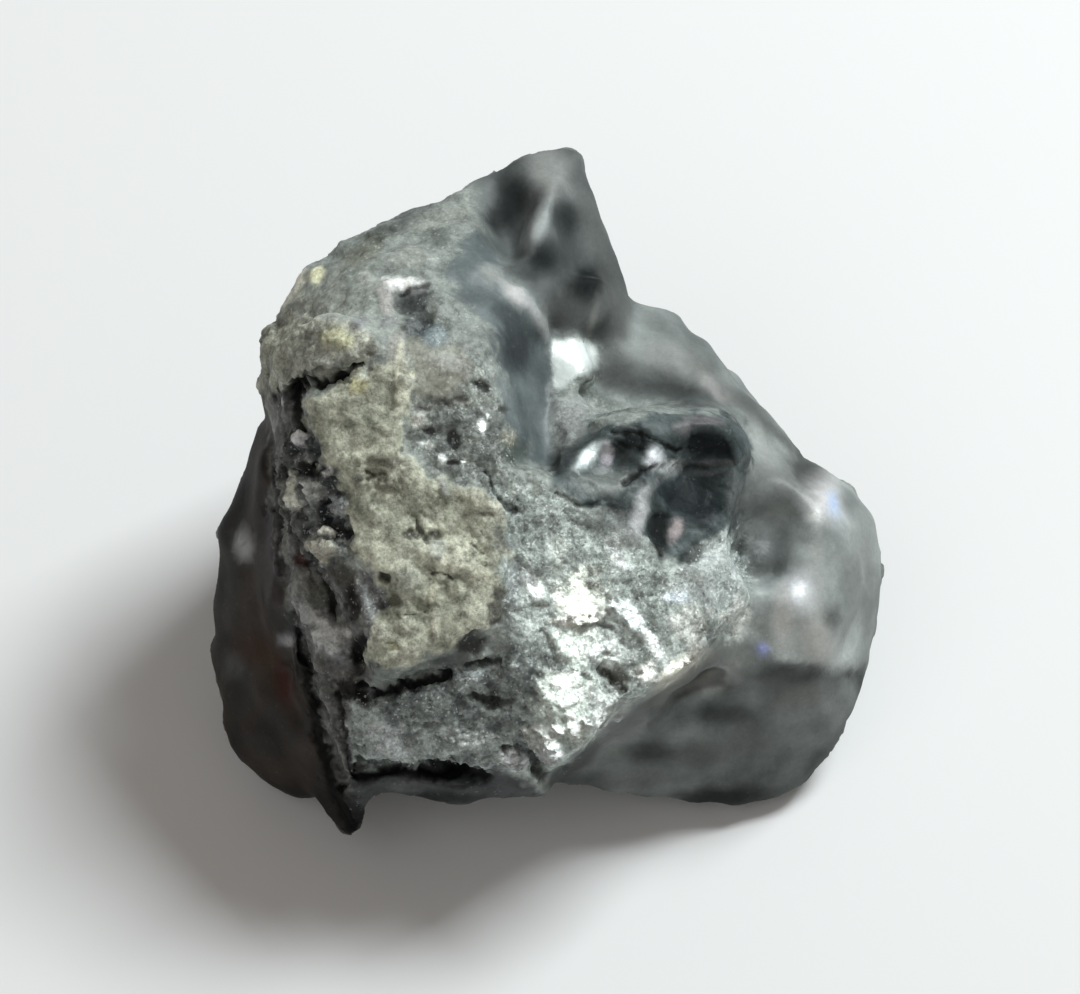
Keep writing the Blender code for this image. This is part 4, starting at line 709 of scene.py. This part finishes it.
crumbs = 0.035 * relief("chips", places, 0.13, 87) + 0.022 * swell(places, 0.065, 89)
for line, start, end, depth, dark in CRACKS.values():
    beside = around(places, line, 0.4)
    away, travelled = off_line(places[beside, :2] + 0.045 * fray[beside], line)
    width = start + (end - start) * travelled
    cover = facing[beside] * smoothstep(1.5 - away / width + 1.3 * wobble[beside])
    height[beside] += smoothstep(2.2 - away / 0.09) * crumbs[beside] * finish["grain"][beside] - depth * cover
    # Painted shade inside the crack.
    colour[beside] *= 1.0 - 0.96 * dark * cover[:, None]
    for key in ("glitter", "flash", "metal"):
        finish[key][beside] *= 1.0 - dark * cover
    finish["dull"][beside] += dark * cover * (1.0 - finish["dull"][beside])

places = places + outward * (height * free)[:, None]
places += down * np.minimum(floor - places @ down, 0.0)[:, None]
skin.vertices.foreach_set("co", places.ravel())
tint = skin.attributes.new("tint", "FLOAT_COLOR", "POINT")
tint.data.foreach_set("color", np.hstack([colour, np.ones((len(places), 1))]).astype(np.float32).ravel())
for key, values in finish.items():
    layer = skin.attributes.new(key, "FLOAT", "POINT")
    layer.data.foreach_set("value", values.astype(np.float32))
layer = skin.attributes.new("front", "FLOAT", "POINT")
layer.data.foreach_set("value", (facing > 0.3).astype(np.float32))
skin.update()

# The hidden sides are thinned first, and then the front, which keeps the finer triangles.
def count_and_front(mesh):
    mesh.calc_loop_triangles()
    front = np.empty(len(mesh.vertices), np.float32)
    mesh.attributes["front"].data.foreach_get("value", front)
    corners = np.empty(len(mesh.loop_triangles) * 3, np.int32)
    mesh.loop_triangles.foreach_get("vertices", corners)
    return len(mesh.loop_triangles), front > 0.5, (front[corners.reshape(-1, 3)].min(axis=1) > 0.5).sum()


total, front, front_total = count_and_front(skin)
skin = moulded(skin, "DECIMATE", chosen=~front, ratio=(front_total + HIDDEN_TRIANGLES) / total)
total, front, _ = count_and_front(skin)
skin = moulded(skin, "DECIMATE", chosen=front, ratio=(FRONT_TRIANGLES + HIDDEN_TRIANGLES) / total)
skin.transform(FACE_TO_STONE)
skin.shade_smooth()
stone = bpy.data.objects.new("diamond_skin", skin)
bpy.context.scene.collection.objects.link(stone)


class Wire:
    """A number that changes over a surface. Arithmetic on it adds Math nodes."""

    def __init__(self, finish, socket):
        self.finish = finish
        self.socket = socket

    def maths(self, operation, first, second):
        return self.finish.add("ShaderNodeMath", {"operation": operation}, {0: first, 1: second})

    def __add__(self, other):
        return self.maths("ADD", self, other)

    __radd__ = __add__

    def __sub__(self, other):
        return self.maths("SUBTRACT", self, other)

    def __rsub__(self, other):
        return self.maths("SUBTRACT", other, self)

    def __mul__(self, other):
        return self.maths("MULTIPLY", self, other)

    __rmul__ = __mul__

    def __gt__(self, other):
        return self.maths("GREATER_THAN", self, other)


class Finish:
    """One material, made node by node."""

    def __init__(self, name):
        self.material = bpy.data.materials.new(name)
        self.material.use_nodes = True
        self.tree = self.material.node_tree
        self.shader = self.tree.nodes["Principled BSDF"]

    def add(self, kind, settings, sockets, output=0):
        """One node: its settings first, then the values or links of its sockets."""
        node = self.tree.nodes.new(kind)
        for key, value in settings.items():
            setattr(node, key, value)
        self.feed(node, sockets)
        return Wire(self, node.outputs[output])

    def feed(self, node, sockets):
        for key, value in sockets.items():
            if isinstance(value, Wire):
                self.tree.links.new(value.socket, node.inputs[key])
            else:
                node.inputs[key].default_value = value

    def attribute(self, name, output="Fac"):
        return self.add("ShaderNodeAttribute", {"attribute_name": name}, {}, output)

    def mix(self, share, first, second):
        return self.add("ShaderNodeMix", {"data_type": "RGBA"}, {0: share, 6: first, 7: second}, 2)

    def vector(self, operation, **sockets):
        named = {{"first": 0, "second": 1, "scale": "Scale"}[key]: value for key, value in sockets.items()}
        return self.add("ShaderNodeVectorMath", {"operation": operation}, named)


CLEAVAGE = (0.281, -0.116, 0.953)  # which way the grains that flash together face
crystal = Finish("fractured_diamond")
object_place = crystal.add("ShaderNodeTexCoord", {}, {}, "Object")
place = crystal.vector("SCALE", first=object_place, scale=1.0 / MM)
glitter = crystal.attribute("glitter")
grain = crystal.attribute("grain")
flash = crystal.attribute("flash")
clouds = crystal.add("ShaderNodeTexNoise", {}, {
    "Vector": place, "Scale": 6.0, "Detail": 6.0, "Roughness": 0.66,
})
specks = crystal.add("ShaderNodeTexNoise", {}, {
    "Vector": place, "Scale": 26.0, "Detail": 3.0, "Roughness": 0.65,
})
lumps = crystal.add("ShaderNodeTexVoronoi", {}, {
    "Vector": place, "Scale": 11.0, "Randomness": 1.0,
}, "Distance")
pebbles = (0.45 - lumps) * grain
tone = 1.0 + (grain * 1.7 + 0.3) * (clouds - 0.5) + (grain * 1.6 + 0.1) * (specks - 0.5) + pebbles * 0.45
tinted = crystal.vector("SCALE", first=crystal.attribute("tint", "Color"), scale=tone)

# Every grain is a tiny mirror with a tilt of its own: a coarse set and a fine set. Where the grains of
# one cleavage lie together, they flash as one.
coarse = crystal.add("ShaderNodeTexVoronoi", {}, {"Vector": place, "Scale": 13.0}, "Color")
fine = crystal.add("ShaderNodeTexVoronoi", {}, {"Vector": place, "Scale": 36.0}, "Color")
lean = crystal.vector("ADD", first=coarse, second=fine)
lean = crystal.vector("SUBTRACT", first=lean, second=(1.0, 1.0, 1.0))
lean = crystal.vector("SCALE", first=lean, scale=glitter * 0.85 * (1.0 - flash * 0.7) + 0.02)
upright = crystal.add("ShaderNodeNewGeometry", {}, {}, "Normal")
cleaved = crystal.vector("SUBTRACT", first=CLEAVAGE, second=upright)
cleaved = crystal.vector("SCALE", first=cleaved, scale=flash * 0.85)
tilted = crystal.vector("ADD", first=upright, second=cleaved)
tilted = crystal.vector("ADD", first=tilted, second=lean)
tilted = crystal.vector("NORMALIZE", first=tilted)
lucky = crystal.add("ShaderNodeSeparateColor", {}, {0: fine}, "Green")
# Painted highlights: a few grains have their colour painted near white, as painted sparkle beside the real
# glints.
painted_sparkle = (lucky + 0.10 * glitter + 0.15 * flash + 0.55 * (clouds - 0.5) > 1.00) * glitter
dented = crystal.add("ShaderNodeBump", {}, {
    "Height": (clouds * 0.9 + specks * 0.4) * (grain + 0.05) + pebbles * 0.3,
    "Strength": 0.45,
    "Distance": 0.06 * MM,
    "Normal": tilted,
})
painted = crystal.mix(painted_sparkle * 0.75, tinted, (0.93, 0.98, 0.95, 1.0))
crystal.feed(crystal.shader, {
    "Base Color": painted,
    "Roughness": crystal.attribute("roughness") + (specks - 0.5) * 0.25,
    "Metallic": crystal.attribute("metal") + flash * 0.5,
    "Normal": dented,
    "IOR": 1.9,
})
earthy = crystal.add("ShaderNodeBsdfPrincipled", {}, {
    "Base Color": painted, "Roughness": 0.85, "Specular IOR Level": 0.15, "Normal": dented,
})
both = crystal.add("ShaderNodeMixShader", {}, {
    0: crystal.attribute("dull") * (1.0 - flash * 0.8),
    1: Wire(crystal, crystal.shader.outputs[0]),
    2: earthy,
})
crystal.feed(crystal.tree.nodes["Material Output"], {"Surface": both})
skin.materials.clear()
skin.materials.append(crystal.material)
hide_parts("rough_diamond")
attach(stone, "root")

# The paper: a plain pale sheet that the stone lies on. It is not part of the stone.
PAPER = 0.25  # m, half the width of the sheet
paper_mesh = bpy.data.meshes.new("paper")
corners = [(-PAPER, -PAPER, 0), (PAPER, -PAPER, 0), (PAPER, PAPER, 0), (-PAPER, PAPER, 0)]
paper_mesh.from_pydata(corners, [], [(0, 1, 2, 3)])
paper = bpy.data.objects.new("paper", paper_mesh)
bpy.context.scene.collection.objects.link(paper)
pale = Finish("pale_paper")
pale.feed(pale.shader, {"Base Color": (0.83, 0.835, 0.845, 1.0), "Roughness": 0.9, "Specular IOR Level": 0.1})
paper_mesh.materials.append(pale.material)

# The light: a soft key from the upper right and behind, and a dim warm room that fills its shadows.
def panel(name, direction, distance, size, power, tone):
    """A square studio light that looks at the stone."""
    lamp = bpy.data.lights.new(name, "AREA")
    lamp.size = size
    lamp.energy = power
    lamp.color = tone
    holder = bpy.data.objects.new(name, lamp)
    holder.location = Vector(direction).normalized() * distance
    holder.rotation_mode = "QUATERNION"
    holder.rotation_quaternion = Vector(direction).to_track_quat("Z", "Y")
    bpy.context.scene.collection.objects.link(holder)


panel("key", (0.48, 0.38, 0.80), 0.12, 0.042, 0.149, (0.925, 0.98, 0.98))
panel("window", (-0.35, -0.55, 0.76), 0.15, 0.12, 0.028, (0.97, 0.99, 1.0))
room = bpy.data.worlds.new("room")
room.use_nodes = True
room.node_tree.nodes["Background"].inputs["Color"].default_value = (1.0, 0.90, 0.80, 1.0)
room.node_tree.nodes["Background"].inputs["Strength"].default_value = 0.20
bpy.context.scene.world = room
bpy.context.scene.view_settings.view_transform = "Standard"

# The camera: a close-up lens that looks steeply down, square onto the broad face.
CAMERA_RISE = math.radians(55.0)
CAMERA_REACH = 0.080
VIEW_WIDTH = 0.01427  # of the stone's plane, across the whole frame
AIM = Vector((-0.000099, -0.000106))  # from the face's origin, across and up the picture
across = Vector((1, 0, 0))
up = Vector((0, math.sin(CAMERA_RISE), math.cos(CAMERA_RISE)))
towards = across.cross(up)
camera = bpy.data.objects.new("camera", bpy.data.cameras.new("camera"))
camera.data.sensor_width = 36.0
camera.data.lens = 36.0 * CAMERA_REACH / VIEW_WIDTH
camera.data.clip_start = 0.001
camera.location = FACE_ORIGIN + across * AIM.x + up * AIM.y + towards * CAMERA_REACH
camera.rotation_mode = "QUATERNION"
camera.rotation_quaternion = towards.to_track_quat("Z", "Y")
bpy.context.scene.collection.objects.link(camera)
bpy.context.scene.camera = camera
